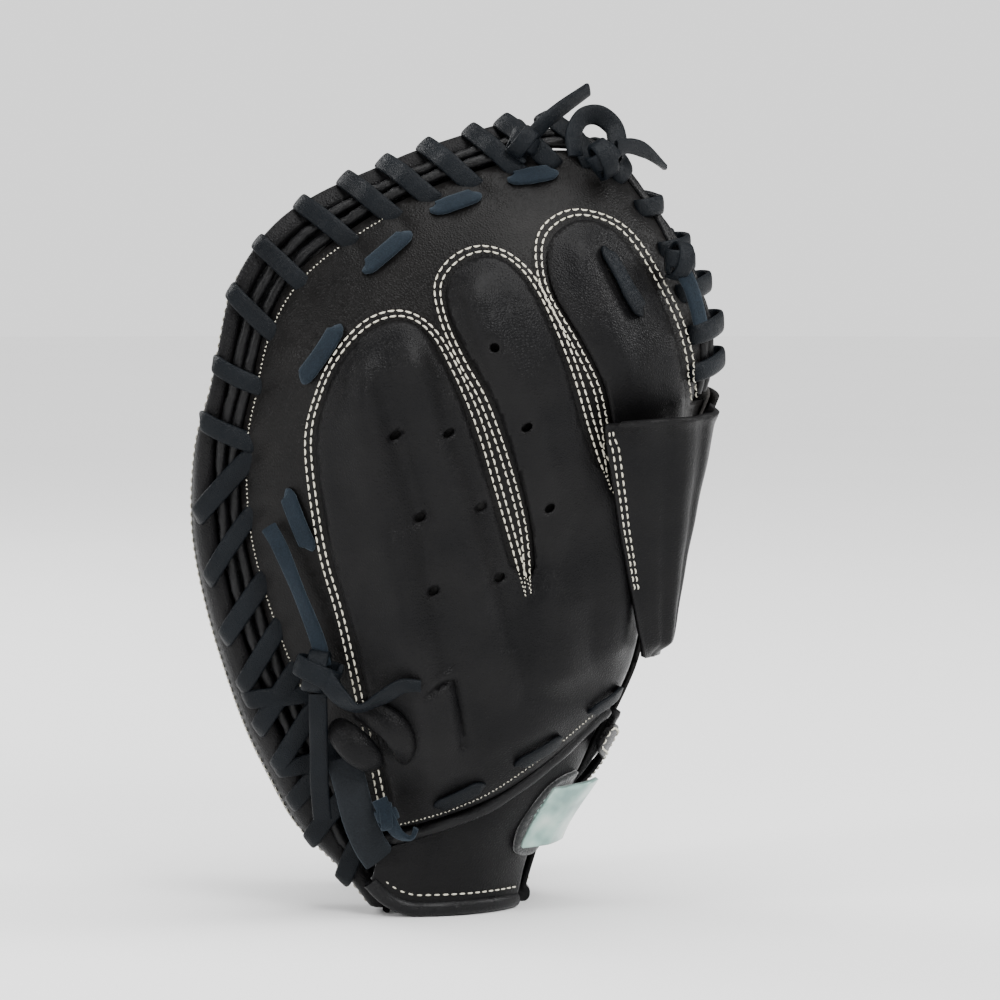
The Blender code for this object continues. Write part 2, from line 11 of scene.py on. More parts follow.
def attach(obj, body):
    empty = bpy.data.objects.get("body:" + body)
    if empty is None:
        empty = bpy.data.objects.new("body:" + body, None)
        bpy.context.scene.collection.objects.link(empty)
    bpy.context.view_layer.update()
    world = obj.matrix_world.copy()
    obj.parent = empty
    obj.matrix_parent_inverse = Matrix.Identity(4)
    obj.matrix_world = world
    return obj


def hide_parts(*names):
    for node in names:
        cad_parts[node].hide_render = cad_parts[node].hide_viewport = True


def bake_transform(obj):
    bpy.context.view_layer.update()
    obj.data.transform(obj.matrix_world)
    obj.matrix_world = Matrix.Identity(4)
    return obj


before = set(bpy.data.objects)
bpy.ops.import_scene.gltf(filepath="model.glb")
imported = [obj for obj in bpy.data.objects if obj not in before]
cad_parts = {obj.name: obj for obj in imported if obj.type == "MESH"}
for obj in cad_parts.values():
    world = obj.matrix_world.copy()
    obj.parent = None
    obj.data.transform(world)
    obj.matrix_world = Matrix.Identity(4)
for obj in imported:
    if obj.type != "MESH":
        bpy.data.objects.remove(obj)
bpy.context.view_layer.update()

MM = 0.001
FINGERS = "finger_side"
THUMBS = "thumb_side"
TAB = "closure_tab_body"

# The mitt's own shape in millimetres: run along the folded contour
# (positive on the finger side), height above the floor, proud outwards from the contour.
FOLD_RADIUS = 30.0
FOLD_ANGLE = math.radians(64.0)
FOLD_RUN = FOLD_RADIUS * FOLD_ANGLE
CUP_RADIUS = 900.0
MIDDLE_X = 10.35
MIDDLE_Y = 22.5
FOLD_LINE = ((0, -15), (30, -7), (60, 13), (93, 29), (125, 41), (157, 51), (189, 64), (213, 75),
             (233, 78), (253, 73), (273, 64), (293, 50), (330, 23))
# Ribs from the laced edge inwards: run and height at the edge, run and height at the inner end.
FINGER_BACK = ((61, 28, 49, 38), (90, 55, 31, 46), (120, 86, 21, 62), (148, 125, 9, 80),
               (168, 165, 1, 100), (181, 203, 1, 128), (181, 233, 1, 154), (162, 258, 1, 178),
               (129, 278, 2, 200), (93, 292, 5, 224), (62, 301, 8, 250), (33, 308, 12, 276))
FINGER_PALM = ((38, 8, 4, 5), (59, 31, 4, 18), (89, 56, 3, 34), (120, 86, 2, 53)) + FINGER_BACK[3:]
THUMB_BACK = ((60, 24, 47, 37), (82, 50, 31, 46), (102, 80, 23, 62), (118, 115, 14, 80),
              (128, 150, 9, 98), (129, 185, 9, 120), (122, 215, 9, 146), (107, 240, 11, 168),
              (88, 258, 24, 187), (72, 268, 42, 209), (62, 272, 50, 238))
THUMB_PALM = ((40, 6, 9, 4), (61, 24, 9, 17), (82, 50, 9, 34), (102, 80, 9, 55)) + THUMB_BACK[3:]
FINGER_WEB_EDGE = ((33, 308), (19, 307), (10, 299), (8, 288), (8, 262), (6, 235), (3, 212), (2, 206))
THUMB_WEB_EDGE = ((62, 272), (53, 268), (47, 259), (44, 246), (43, 228), (40, 212))
FINGER_OPENING = ((53, 33), (31, 43), (20, 59), (9, 77), (2, 84))
THUMB_OPENING = ((51, 30), (33, 40), (24, 56), (14, 73), (10.5, 82))
LEATHER = 2.4
EDGE_LEVEL = 4.0
PAD_TOP = -8.0
PAD_GAP = 3.7
HEEL_SHARE = 0.2
PALM_SHARE = HEEL_SHARE + 0.01
# Near the fingertips the laced edge turns over towards the palm, from this height over this much more.
TIPS_LOW = 256.0
TIPS_TALL = 34.0
FINGERTIP_TURN = math.radians(46.0)
THUMBTIP_TURN = math.radians(20.0)
STRAP = 13.0
STRAP_FACE = STRAP + LEATHER
WELT_LEVEL = 4.6
WELT_PITCH = 4.8
WELT = 2.35

# Sewing, lacing and leather sizes.
STITCH_PITCH = 3.45
STITCH_LONG = 2.45
SEW_STEP = 0.8
ROW_GAP = 2.1
LACE_WIDE = 8.0
LACE_THICK = 2.5
TAIL_WIDE = 7.4
FILL_PITCH = 2.0
HIDE = 2.2
THIN_HIDE = 2.0
ABOVE = 5.0

DICE = random.Random(11)


# ---------------------------------------------------------------- measuring
def smooth_step(value):
    value = np.clip(value, 0.0, 1.0)
    return value * value * (3.0 - 2.0 * value)


def bell(value, width):
    return np.exp(-(value / width) ** 2)


def spline_at(points, place):
    """Point on a smooth curve through the points; place runs from 0 to len(points) - 1."""
    last = len(points) - 1
    start = min(int(place), last - 1)
    step = place - start
    before, here, there, after = (np.asarray(points[min(max(start + ahead, 0), last)], float)
                                  for ahead in (-1, 0, 1, 2))
    slope_in = (there - before) / 2.0
    slope_out = (after - here) / 2.0
    cube = (2.0 * here - 2.0 * there + slope_in + slope_out) * step ** 3
    square = (3.0 * there - 3.0 * here - 2.0 * slope_in - slope_out) * step ** 2
    return cube + square + slope_in * step + here


def spline(points, count):
    """Array of points on the smooth curve through the given ones."""
    last = len(points) - 1
    return np.array([spline_at(points, last * index / count) for index in range(count + 1)])


def lengths(line):
    """Distance travelled along a line at each of its points."""
    return np.concatenate(([0.0], np.cumsum(np.linalg.norm(np.diff(line, axis=0), axis=1))))


def along_line(goals, along, line):
    """The line's columns at the goals, distances along it."""
    return np.stack([np.interp(goals, along, line[:, axis]) for axis in range(line.shape[1])], axis=-1)


def spaced(line, pitch):
    """The same line with points about pitch apart."""
    line = np.asarray(line, float)
    along = lengths(line)
    count = max(int(round(along[-1] / pitch)), 2)
    return along_line(np.linspace(0.0, along[-1], count + 1), along, line)


def table(points, keys):
    """Smooth values from (key, value) pairs."""
    dense = spline(points, 40 * (len(points) - 1))
    return np.interp(keys, dense[:, 0], dense[:, 1])


def unit(vectors):
    return vectors / np.maximum(np.linalg.norm(vectors, axis=-1, keepdims=True), 1e-12)


def mitt(run, height, proud):
    """World positions in metres of places given by run, height and proud."""
    run, height, proud = np.broadcast_arrays(np.asarray(run, float), np.asarray(height, float), proud)
    side = np.where(run >= 0.0, 1.0, -1.0)
    length = np.abs(run)
    flat = length > FOLD_RUN
    turn = np.where(flat, FOLD_ANGLE + (length - FOLD_RUN) / CUP_RADIUS, length / FOLD_RADIUS)
    sine = np.sin(turn)
    cosine = np.cos(turn)
    flat_across = FOLD_RADIUS * math.sin(FOLD_ANGLE) + CUP_RADIUS * (sine - math.sin(FOLD_ANGLE))
    flat_back = FOLD_RADIUS * math.cos(FOLD_ANGLE) + CUP_RADIUS * (cosine - math.cos(FOLD_ANGLE))
    across = np.where(flat, flat_across, FOLD_RADIUS * sine) + proud * sine
    back = np.where(flat, flat_back, FOLD_RADIUS * cosine) + proud * cosine + table(FOLD_LINE, height)
    return np.stack([side * across - MIDDLE_X, back - MIDDLE_Y, height], axis=-1) * MM


def raised(run, height, proud):
    """World places, and from each the way out of the mitt."""
    places = mitt(run, height, proud)
    return places, mitt(run, height, proud + ABOVE) - places


def run_at(across, height, proud=14.0):
    """Run of a place on the finger back, given how far across it looks from square on."""
    beyond = across - math.sin(FOLD_ANGLE) * table(FOLD_LINE, height)
    sine = np.clip(beyond / (FOLD_RADIUS + proud), 0.0, 1.0)
    return np.where(beyond <= 0.0, FOLD_RUN - beyond, FOLD_RADIUS * (FOLD_ANGLE - np.arcsin(sine)))


def seen(points):
    """(across, height) points of the finger back as (run, height)."""
    points = np.asarray(points, float)
    return np.stack([run_at(points[:, 0], points[:, 1]), points[:, 1]], axis=1)


def line_distance(line, run, height):
    """Distance of every place from a line of (run, height) points."""
    line = np.asarray(line, float)
    spots = np.stack([np.ravel(run), np.ravel(height)], axis=1)
    best = np.full(len(spots), 1e6)
    for start, end in zip(line[:-1], line[1:]):
        span = end - start
        size = float(span @ span)
        if size < 1e-12:
            continue
        share = np.clip((spots - start) @ span / size, 0.0, 1.0)
        best = np.minimum(best, np.linalg.norm(spots - start - share[:, None] * span, axis=1))
    return best.reshape(np.shape(run))


def inside(outline, spots):
    """Which spots lie inside a closed outline."""
    outline = np.asarray(outline, float)
    x, y = spots[:, 0], spots[:, 1]
    within = np.zeros(len(spots), bool)
    for (x_a, y_a), (x_b, y_b) in zip(outline, np.roll(outline, -1, axis=0)):
        if y_a == y_b:
            continue
        crosses = (y_a > y) != (y_b > y)
        within ^= crosses & (x < (x_b - x_a) * (y - y_a) / (y_b - y_a) + x_a)
    return within


def looped(outline):
    return np.vstack([outline, outline[:1]])


def offset_line(line, distance):
    """An open (run, height) line moved sideways, positive to its right."""
    line = np.asarray(line, float)
    along = unit(np.gradient(line, axis=0))
    return line + np.stack([along[:, 1], -along[:, 0]], axis=1) * distance


def ripple(run, height, size, wave):
    """Soft unevenness of worked leather, the same each time."""
    total = np.zeros(np.shape(run))
    for index in range(6):
        angle = 0.7 + 2.399 * index
        length = wave * (0.7 + 0.23 * index)
        phase = 2.0 * math.pi * (run * math.cos(angle) + height * math.sin(angle)) / length
        total = total + np.sin(phase + 1.9 * index)
    return total * size / 3.0


# ---------------------------------------------------------------- materials
class Shader:
    """A Principled material built from procedural nodes in object space."""

    def __init__(self, name, colour, roughness):
        self.material = bpy.data.materials.new(name)
        self.material.use_nodes = True
        self.tree = self.material.node_tree
        self.shader = self.tree.nodes["Principled BSDF"]
        self.place = self.tree.nodes.new("ShaderNodeTexCoord").outputs["Object"]
        self.normal = None
        self.done({"Base Color": (*colour, 1.0), "Roughness": roughness})

    def done(self, values):
        """The material, with the last constants of its surface."""
        for socket, value in values.items():
            self.shader.inputs[socket].default_value = value
        return self.material

    def node(self, kind, values, links):
        """A node with its constants set and its inputs linked."""
        node = self.tree.nodes.new("ShaderNode" + kind)
        for socket, value in values.items():
            node.inputs[socket].default_value = value
        for socket, value in links.items():
            self.tree.links.new(value, node.inputs[socket])
        return node

    def noise(self, scale, detail=3.0, stretch=None):
        place = self.place
        if stretch:
            place = self.node("Mapping", {"Scale": stretch}, {"Vector": place}).outputs["Vector"]
        return self.node("TexNoise", {"Scale": scale, "Detail": detail}, {"Vector": place}).outputs["Fac"]

    def cells(self, scale, feature="F1"):
        node = self.node("TexVoronoi", {"Scale": scale}, {"Vector": self.place})
        node.feature = feature
        return node.outputs["Distance"]

    def ramp(self, value, *stops):
        node = self.node("ValToRGB", {}, {"Fac": value})
        elements = node.color_ramp.elements
        while len(elements) < len(stops):
            elements.new(0.5)
        for element, (position, colour) in zip(elements, stops):
            element.position = position
            element.color = (*colour, 1.0)
        return node.outputs["Color"]

    def mask(self, value, low, high, most=1.0):
        """Black up to low, rising to a grey at high."""
        return self.ramp(value, (low, (0.0,) * 3), (high, (most,) * 3))

    def mix(self, amount, low, high):
        """Two colours mixed; a colour is a tuple or a socket."""
        node = self.tree.nodes.new("ShaderNodeMix")
        node.data_type = "RGBA"
        self.tree.links.new(amount, node.inputs[0])
        for value, socket in ((low, node.inputs[6]), (high, node.inputs[7])):
            if isinstance(value, tuple):
                socket.default_value = (*value, 1.0)
            else:
                self.tree.links.new(value, socket)
        return node.outputs[2]

    def colour(self, value):
        self.tree.links.new(value, self.shader.inputs["Base Color"])

    def rough(self, value, low, high):
        """Roughness from a value of 0 to 1 carried to the range low to high."""
        node = self.node("MapRange", {"To Min": low, "To Max": high}, {"Value": value})
        self.tree.links.new(node.outputs["Result"], self.shader.inputs["Roughness"])

    def bump(self, value, strength, distance):
        links = {"Height": value, "Normal": self.normal} if self.normal else {"Height": value}
        self.normal = self.node("Bump", {"Strength": strength, "Distance": distance}, links).outputs["Normal"]
        self.tree.links.new(self.normal, self.shader.inputs["Normal"])

    def worn(self, amount):
        """Mask of raised edges, where handling rubs the colour lighter."""
        geometry = self.tree.nodes.new("ShaderNodeNewGeometry")
        return self.mask(geometry.outputs["Pointiness"], 0.50, 0.58, amount)


def leather(name, dark, light, roughness, grain, sheen=0.0, coat=0.0):
    """Grained hide: tiny pebbles in larger creases, with an uneven dye."""
    look = Shader(name, dark, roughness)
    base = look.mix(look.mask(look.noise(38.0, 5.0), 0.35, 0.70), dark, light)
    look.colour(look.mix(look.worn(0.35), base, tuple(1.7 * tone + 0.002 for tone in light)))
    look.rough(look.noise(160.0, 4.0), roughness - 0.07, roughness + 0.10)
    look.bump(look.cells(grain, "DISTANCE_TO_EDGE"), 0.85, 0.00034)
    look.bump(look.noise(1500.0, 3.0), 0.35, 0.00022)
    look.bump(look.noise(120.0, 4.0, (1.0, 1.0, 0.45)), 0.22, 0.0006)
    return look.done({"Specular IOR Level": 0.10, "Sheen Weight": sheen, "Coat Weight": coat,
                      "Coat Roughness": 0.32})


def suede(name, dark, light):
    """Flesh side of the lacing: matt, with short brushed fibres."""
    look = Shader(name, dark, 0.92)
    fibres = look.noise(1500.0, 6.0)
    tone = look.mix(look.mask(fibres, 0.30, 0.72), dark, light)
    look.colour(look.mix(look.mask(look.noise(90.0, 4.0), 0.4, 0.8, 0.5), tone, light))
    look.bump(fibres, 0.75, 0.00035)
    look.bump(look.noise(420.0, 4.0), 0.45, 0.0005)
    return look.done({"Sheen Weight": 0.12, "Sheen Roughness": 0.5, "Sheen Tint": (0.55, 0.70, 0.85, 1.0),
                      "Specular IOR Level": 0.15})


def thread(name, colour):
    """Waxed cotton thread with a fine twist."""
    look = Shader(name, colour, 0.55)
    look.colour(look.mix(look.noise(700.0, 3.0), tuple(0.72 * tone for tone in colour), colour))
    look.bump(look.noise(2400.0, 2.0, (1.0, 1.0, 3.0)), 0.5, 0.0002)
    return look.done({"Specular IOR Level": 0.4})


def fabric(name, dark, light, scale, depth):
    """Felt or fleece: matted fibres."""
    look = Shader(name, dark, 0.95)
    tangle = look.noise(scale, 8.0)
    look.colour(look.mix(look.mask(tangle, 0.32, 0.68), dark, light))
    look.bump(tangle, 0.9, depth)
    look.bump(look.cells(scale * 1.7), 0.5, depth * 0.5)
    return look.done({"Sheen Weight": 0.5, "Specular IOR Level": 0.1})


def satin(name):
    """Shot fabric of the strap badge: green, with a slow drift to silver and olive."""
    look = Shader(name, (0.26, 0.40, 0.35), 0.34)
    look.colour(look.ramp(look.noise(75.0, 2.0), (0.34, (0.15, 0.27, 0.24)), (0.50, (0.30, 0.45, 0.40)),
                          (0.66, (0.48, 0.58, 0.52))))
    look.bump(look.noise(2600.0, 1.0, (1.0, 1.0, 6.0)), 0.35, 0.0001)
    return look.done({"Metallic": 0.35, "Sheen Weight": 0.3, "Coat Weight": 0.25, "Coat Roughness": 0.25})


BLACK = leather("black_hide", (0.0030, 0.0030, 0.0034), (0.0058, 0.0056, 0.0058), 0.36, 900.0)
SHELL = leather("shell_hide", (0.0036, 0.0034, 0.0034), (0.0066, 0.0061, 0.0059), 0.35, 860.0)
PALM = leather("palm_hide", (0.0036, 0.0036, 0.0040), (0.0068, 0.0065, 0.0068), 0.36, 880.0)
WELTS = leather("welt_hide", (0.0030, 0.0030, 0.0034), (0.0055, 0.0055, 0.0060), 0.27, 1300.0, 0.0, 0.15)
SMOOTH = leather("lace_hide", (0.0022, 0.0031, 0.0044), (0.0046, 0.0062, 0.0082), 0.40, 1300.0)
SUEDE = suede("lace_suede", (0.0028, 0.0048, 0.0074), (0.0078, 0.0132, 0.0195))
FLESH = suede("strap_suede", (0.0045, 0.0052, 0.0062), (0.0110, 0.0125, 0.0145))
CREAM = thread("cream_thread", (0.66, 0.63, 0.52))
LINING = leather("lining_hide", (0.018, 0.017, 0.016), (0.032, 0.030, 0.028), 0.62, 1300.0, 0.05)
FELT = fabric("wool_felt", (0.010, 0.011, 0.012), (0.030, 0.031, 0.031), 900.0, 0.0005)
FLEECE = fabric("strap_fleece", (0.014, 0.015, 0.016), (0.045, 0.045, 0.045), 420.0, 0.0016)
SATIN = satin("badge_satin")


# ---------------------------------------------------------------- making pieces
def piece(name, shape, material, body, replaced=(), slot=None, smooth=55.0, thick=0.0, offset=-1.0):
    """A mesh piece of (points, faces) that rides on a body, or on none while body is empty."""
    points, faces = shape
    mesh = bpy.data.meshes.new(name)
    mesh.from_pydata(np.asarray(points, float).tolist(), [], faces)
    mesh.validate()
    mesh.materials.append(material)
    mesh.shade_smooth()
    mesh.set_sharp_from_angle(angle=math.radians(smooth))
    part = bpy.data.objects.new(name, mesh)
    bpy.context.scene.collection.objects.link(part)
    if body:
        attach(part, body)
    if replaced:
        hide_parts(*replaced)
    if thick:
        wall = part.modifiers.new("thickness", "SOLIDIFY")
        wall.thickness = thick * MM
        wall.offset = offset
    return part


def bending(part, start, end):
    """Makes any thickness real in a piece's mesh, then bakes its transform into the mesh."""
    if part.modifiers:
        bpy.context.view_layer.update()
        evaluated = part.evaluated_get(bpy.context.evaluated_depsgraph_get())
        mesh = bpy.data.meshes.new_from_object(evaluated)
        part.modifiers.clear()
        part.data = mesh
    end[1] = start[1]
    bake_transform(part)


def grid_faces(rows, columns, wrap=False):
    """Quads of a grid of points stored row after row."""
    faces = []
    for row in range(rows - 1):
        for column in range(columns if wrap else columns - 1):
            after = (column + 1) % columns
            low = row * columns
            high = low + columns
            faces.append((low + column, low + after, high + after, high + column))
    return faces


def sheet(places, toward, row, column):
    """Points and faces of a grid of places, the face at row and column looking toward a direction."""
    rows, columns = places.shape[:2]
    faces = grid_faces(rows, columns)
    points = places.reshape(-1, 3)
    a, b, c = (points[corner] for corner in faces[row * (columns - 1) + column][:3])
    if float(np.dot(np.cross(b - a, c - a), toward)) < 0.0:
        faces = [face[::-1] for face in faces]
    return points, faces


def laid(run, height, proud, at):
    """A sheet on the mitt whose faces look outwards, judged at one row and column."""
    places, out = raised(run, height, proud)
    return sheet(places, out[at, at], at, at)


def shares(rows, columns):
    """Shares across and up of every point of a grid."""
    return np.broadcast_arrays(np.linspace(0.0, 1.0, columns)[None, :], np.linspace(0.0, 1.0, rows)[:, None])


def sweep(points, ups, widths, thicks, sides=14, power=0.55):
    """Points and faces of a closed band swept along a line; ups point away from what it lies on."""
    points = np.asarray(points, float)
    count = len(points)
    tangent = unit(np.gradient(points, axis=0))
    across = unit(np.cross(tangent, np.broadcast_to(ups, points.shape)))
    up = np.cross(across, tangent)
    angles = 2.0 * np.pi * np.arange(sides) / sides
    ring = points[:, None]
    for axis, sizes, wave in ((across, widths, np.cos(angles)), (up, thicks, np.sin(angles))):
        sizes = np.broadcast_to(sizes, (count,)) * MM / 2.0
        ring = ring + axis[:, None] * (sizes[:, None] * (np.sign(wave) * np.abs(wave) ** power))[..., None]
    faces = grid_faces(count, sides, wrap=True)
    faces.append(tuple(range(sides - 1, -1, -1)))
    faces.append(tuple((count - 1) * sides + side for side in range(sides)))
    return ring.reshape(-1, 3), faces


def tube(line, ups, wide, tall=None, sides=18, power=1.0):
    return sweep(line, ups, wide, wide if tall is None else tall, sides, power)


def joined(shapes):
    """Several (points, faces) shapes as one."""
    all_points = []
    all_faces = []
    start = 0
    for points, faces in shapes:
        all_points.append(points)
        all_faces.extend([tuple(start + corner for corner in face) for face in faces])
        start += len(points)
    return np.concatenate(all_points), all_faces


# One stitch in section along its length: share of the length, lift off the leather, share of the width.
STITCH = np.array([(0.0, -0.40, 0.45), (0.10, 0.02, 0.75), (0.28, 0.26, 0.95), (0.5, 0.34, 1.0),
                   (0.72, 0.26, 0.95), (0.90, 0.02, 0.75), (1.0, -0.40, 0.45)])


def stitch_row(line, normals, pitch=STITCH_PITCH, long=STITCH_LONG, wide=0.74):
    """One row of thread stitches along a line that lies on a surface."""
    line = np.asarray(line, float) / MM
    normals = unit(np.asarray(normals, float))
    along = lengths(line)
    count = int(along[-1] / pitch)
    fats = STITCH[:, 2] * wide
    shapes = []
    for index in range(count):
        goals = along[-1] * (index + 0.5) / count - long / 2.0 + long * STITCH[:, 0]
        up = unit(along_line(goals, along, normals))
        middle = along_line(goals, along, line) + up * STITCH[:, 1:2]
        shapes.append(sweep(middle * MM, up, fats, fats * 0.8, sides=6, power=1.0))
    return shapes


def sewn(line, normals, **sizes):
    """Stitches along a line of world places."""
    dense = spaced(np.hstack([line, normals]), SEW_STEP * MM)
    return stitch_row(dense[:, :3], dense[:, 3:], **sizes)


def sewn_on(run, height, proud, **sizes):
    line, out = raised(run, height, proud)
    return sewn(line, unit(out), **sizes)


class Skin:
    """A surface of the mitt: proud as a function of run and height."""

    def __init__(self, side, proud):
        self.side = side
        self.proud = proud

    def at(self, run, height, lift=0.0):
        run = np.asarray(run, float)
        height = np.asarray(height, float)
        return mitt(self.side * run, height, self.proud(run, height) + lift)

    def normals(self, run, height):
        step = 0.6
        along = self.at(run + step, height) - self.at(run - step, height)
        upward = self.at(run, height + step) - self.at(run, height - step)
        return unit(np.cross(upward, along)) * self.side * -1.0

    def seam(self, line):
        """Stitches along a (run, height) line on this skin."""
        line = spaced(line, SEW_STEP)
        return stitch_row(self.at(line[:, 0], line[:, 1]), self.normals(line[:, 0], line[:, 1]))

    def band(self, line, lifts, wide, thick):
        """A lace or strap lying along (run, height) points, lifted by lifts."""
        ups = self.normals(line[:, 0], line[:, 1])
        return sweep(self.at(line[:, 0], line[:, 1], lifts), ups, wide, thick)


def fill(outline, skin, holes=(), hole_size=2.1, pitch=FILL_PITCH):
    """Points and faces of a leather piece cut to a (run, height) outline and laid on a skin."""
    outline = spaced(looped(outline), pitch * 0.7)[:-1]
    low = outline.min(axis=0)
    high = outline.max(axis=0)
    columns = np.arange(low[0], high[0], pitch)
    rows = np.arange(low[1], high[1], pitch * 0.87)
    spots = np.array([(x + pitch * 0.5 * (index % 2), y) for index, y in enumerate(rows) for x in columns])
    spots = spots[inside(outline, spots)]
    spots = spots[line_distance(looped(outline), spots[:, 0], spots[:, 1]) > pitch * 0.45]
    angles = 2.0 * np.pi * np.arange(12) / 12
    circle = hole_size * np.stack([np.cos(angles), np.sin(angles)], axis=1)
    for hole in holes:
        spots = spots[np.hypot(*(spots - hole).T) > hole_size + 0.5]
    flat = np.vstack([outline] + [circle + hole for hole in holes] + [spots])
    count = len(outline)
    edges = [(index, (index + 1) % count) for index in range(count)]
    result = delaunay_2d_cdt([Vector(spot) for spot in flat], edges, [], 0, 1e-4)
    flat = np.array([tuple(spot) for spot in result[0]])
    faces = np.array([face for face in result[2]])
    middle = flat[faces].mean(axis=1)
    keep = inside(outline, middle)
    for hole in holes:
        keep &= np.hypot(*(middle - hole).T) > hole_size * 0.98
    faces = faces[keep]
    if skin.side > 0.0:
        faces = faces[:, ::-1]
    return skin.at(flat[:, 0], flat[:, 1]), [tuple(int(corner) for corner in face) for face in faces]


# ---------------------------------------------------------------- the two halves
class Half:
    """The ribs, edge and surfaces of one half of the mitt."""

    def __init__(self, label, side, body, back_ribs, palm_ribs, web_edge):
        self.label = label
        self.side = side
        self.body = body
        self.back_ribs = back_ribs
        self.palm_ribs = palm_ribs
        laced = spline(np.array(back_ribs, float)[:, :2], 260)
        self.edge = spaced(np.vstack([laced, spline(web_edge, 90)[1:]]), 2.0)
        self.along = lengths(self.edge)
        self.length = self.along[-1]
        self.holes = []
        self.shell = Skin(side, self.back_proud)

    def piece(self, name, shape, material, node=None, slot=None, **how):
        """A piece of this half; its name and the node it replaces start with the half's label."""
        nodes = (self.label + "_" + node,) if node else ()
        return piece(self.label + "_" + name, shape, material, self.body, nodes, slot, **how)

    def back_inside(self, run, height):
        """The inside face of the back leather: low at the lacing, domed between."""
        fold_crown = 15.0 - 5.0 * smooth_step((height - 95.0) / 55.0)
        crown = fold_crown + (28.0 - fold_crown) * smooth_step((run - 5.0) / 75.0)
        reach = np.minimum(line_distance(self.edge, run, height) / 50.0, 1.0)
        return EDGE_LEVEL + (crown - EDGE_LEVEL) * np.sin(reach * np.pi / 2.0)

    def back_proud(self, run, height):
        """The outside face of the back leather."""
        near = line_distance(self.edge, run, height)
        roll = -1.6 * (1.0 - smooth_step(near / 9.0))
        sag = ripple(run, height, 0.42, 46.0) * smooth_step(near / 18.0)
        pucker = np.zeros(np.shape(run))
        for x, y in self.holes:
            pucker = pucker + 1.3 * np.exp(-((run - x) ** 2 + (height - y) ** 2) / 16.0)
        return self.back_inside(run, height) + LEATHER + roll + sag - pucker

    def edge_spots(self, along, out=0.0):
        """Places on the laced edge by the distance along it, moved outwards by out."""
        along = np.asarray(along, float)
        clipped = np.clip(along, 0.0, self.length)
        spot, ahead, behind = (along_line(np.clip(clipped + step, 0.0, self.length), self.along, self.edge)
                               for step in (0.0, 6.0, -6.0))
        direction = unit(ahead - behind)
        outward = np.stack([direction[..., 1], -direction[..., 0]], axis=-1)
        return spot + outward * np.asarray(out, float)[..., None] + direction * (along - clipped)[..., None]

    def turned(self, height, out, proud):
        """Where a place near the edge goes as the edge turns towards the palm at the fingertips."""
        most = FINGERTIP_TURN if self.side > 0.0 else THUMBTIP_TURN
        angle = most * smooth_step((height - TIPS_LOW) / TIPS_TALL) * smooth_step((out + 4.0) / 8.0)
        level = proud - EDGE_LEVEL
        cosine, sine = np.cos(angle), np.sin(angle)
        return out * cosine + level * sine, EDGE_LEVEL + level * cosine - out * sine

    def edge_points(self, along, out, proud):
        height = np.interp(along, self.along, self.edge[:, 1])
        out, proud = self.turned(height, out, proud)
        spots = self.edge_spots(along, out)
        return mitt(self.side * spots[..., 0], np.maximum(spots[..., 1], 0.8), proud)

    def rim_size(self, u):
        return float(0.42 + 0.58 * smooth_step(u / 0.22) - 0.56 * smooth_step((u - 0.55) / 0.32))

    def rim_profile(self, u, reach):
        """Padded rim in section from the flange under the lacing: (distance out, proud)."""
        size = self.rim_size(u)
        inward = min(34.0 * size, 0.5 * reach)
        trim = 0.0
        if self.side > 0.0:
            trim = float(4.0 * smooth_step((u - 0.36) / 0.2) + 3.0 * smooth_step((u - 0.6) / 0.2))
        return [(7.4, 1.5), (8.2, 4.6), (10.8, 6.0), (13.4, 5.2), (13.2 + 3.6 * size - 0.6 * trim, 1.0),
                (11.2 + 8.0 * size - trim, -9.0), (10.6 + 6.6 * size - trim, -4.0 - 17.0 * size),
                (9.0, -6.0 - 25.0 * size), (-3.0, -7.0 - 28.0 * size),
                (-0.55 * inward - 3.0, -8.0 - 23.0 * size), (-inward - 4.0, -10.0 - 9.0 * size)]

    def palm_rib(self, u, back=0.01):
        """A palm rib at a share of the way up, and the way outwards from its edge."""
        top = len(self.palm_ribs) - 1
        rib, ahead, behind = (spline_at(self.palm_ribs, place * top)
                              for place in (u, min(u + 0.01, 1.0), max(u - back, 0.0)))
        direction = unit(ahead[:2] - behind[:2])
        return rib, np.array([direction[1], -direction[0]])

    def palm_grid(self, columns, first=0.0, last=1.0):
        """Run, height and proud of the palm leather's pocket face, from flange to fold."""
        grid = []
        for column in range(columns + 1):
            u = first + (last - first) * column / columns
            rib, outward = self.palm_rib(u)
            edge, inner = rib[:2], rib[2:]
            reach = float(np.linalg.norm(inner - edge))
            inward = (inner - edge) / reach
            profile = self.rim_profile(u, reach)
            profile[:5] = [self.turned(edge[1], out, proud) for out, proud in profile[:5]]
            for row in range(RIM_ROWS + 1):
                out, proud = spline_at(profile, (len(profile) - 1) * row / RIM_ROWS)
                grid.append((*(edge + (outward * out if out > 0.0 else inward * -out)), proud))
            out, proud = profile[-1]
            start = edge + inward * -out
            for row in range(1, POCKET_ROWS + 1):
                share = row / POCKET_ROWS
                spot = start + (inner - start) * share
                floor = -15.0 - 4.0 * float(smooth_step((spot[0] - 40.0) / 60.0))
                grid.append((*spot, proud + (floor - proud) * float(smooth_step(share * 2.0))))
        return np.moveaxis(np.array(grid).reshape(columns + 1, RIM_ROWS + POCKET_ROWS + 1, 3), 2, 0)


RIM_ROWS = 50
POCKET_ROWS = 34
SEAM_ROW = 22
FINGER = Half("finger", 1.0, FINGERS, FINGER_BACK, FINGER_PALM, FINGER_WEB_EDGE)
THUMB = Half("thumb", -1.0, THUMBS, THUMB_BACK, THUMB_PALM, THUMB_WEB_EDGE)

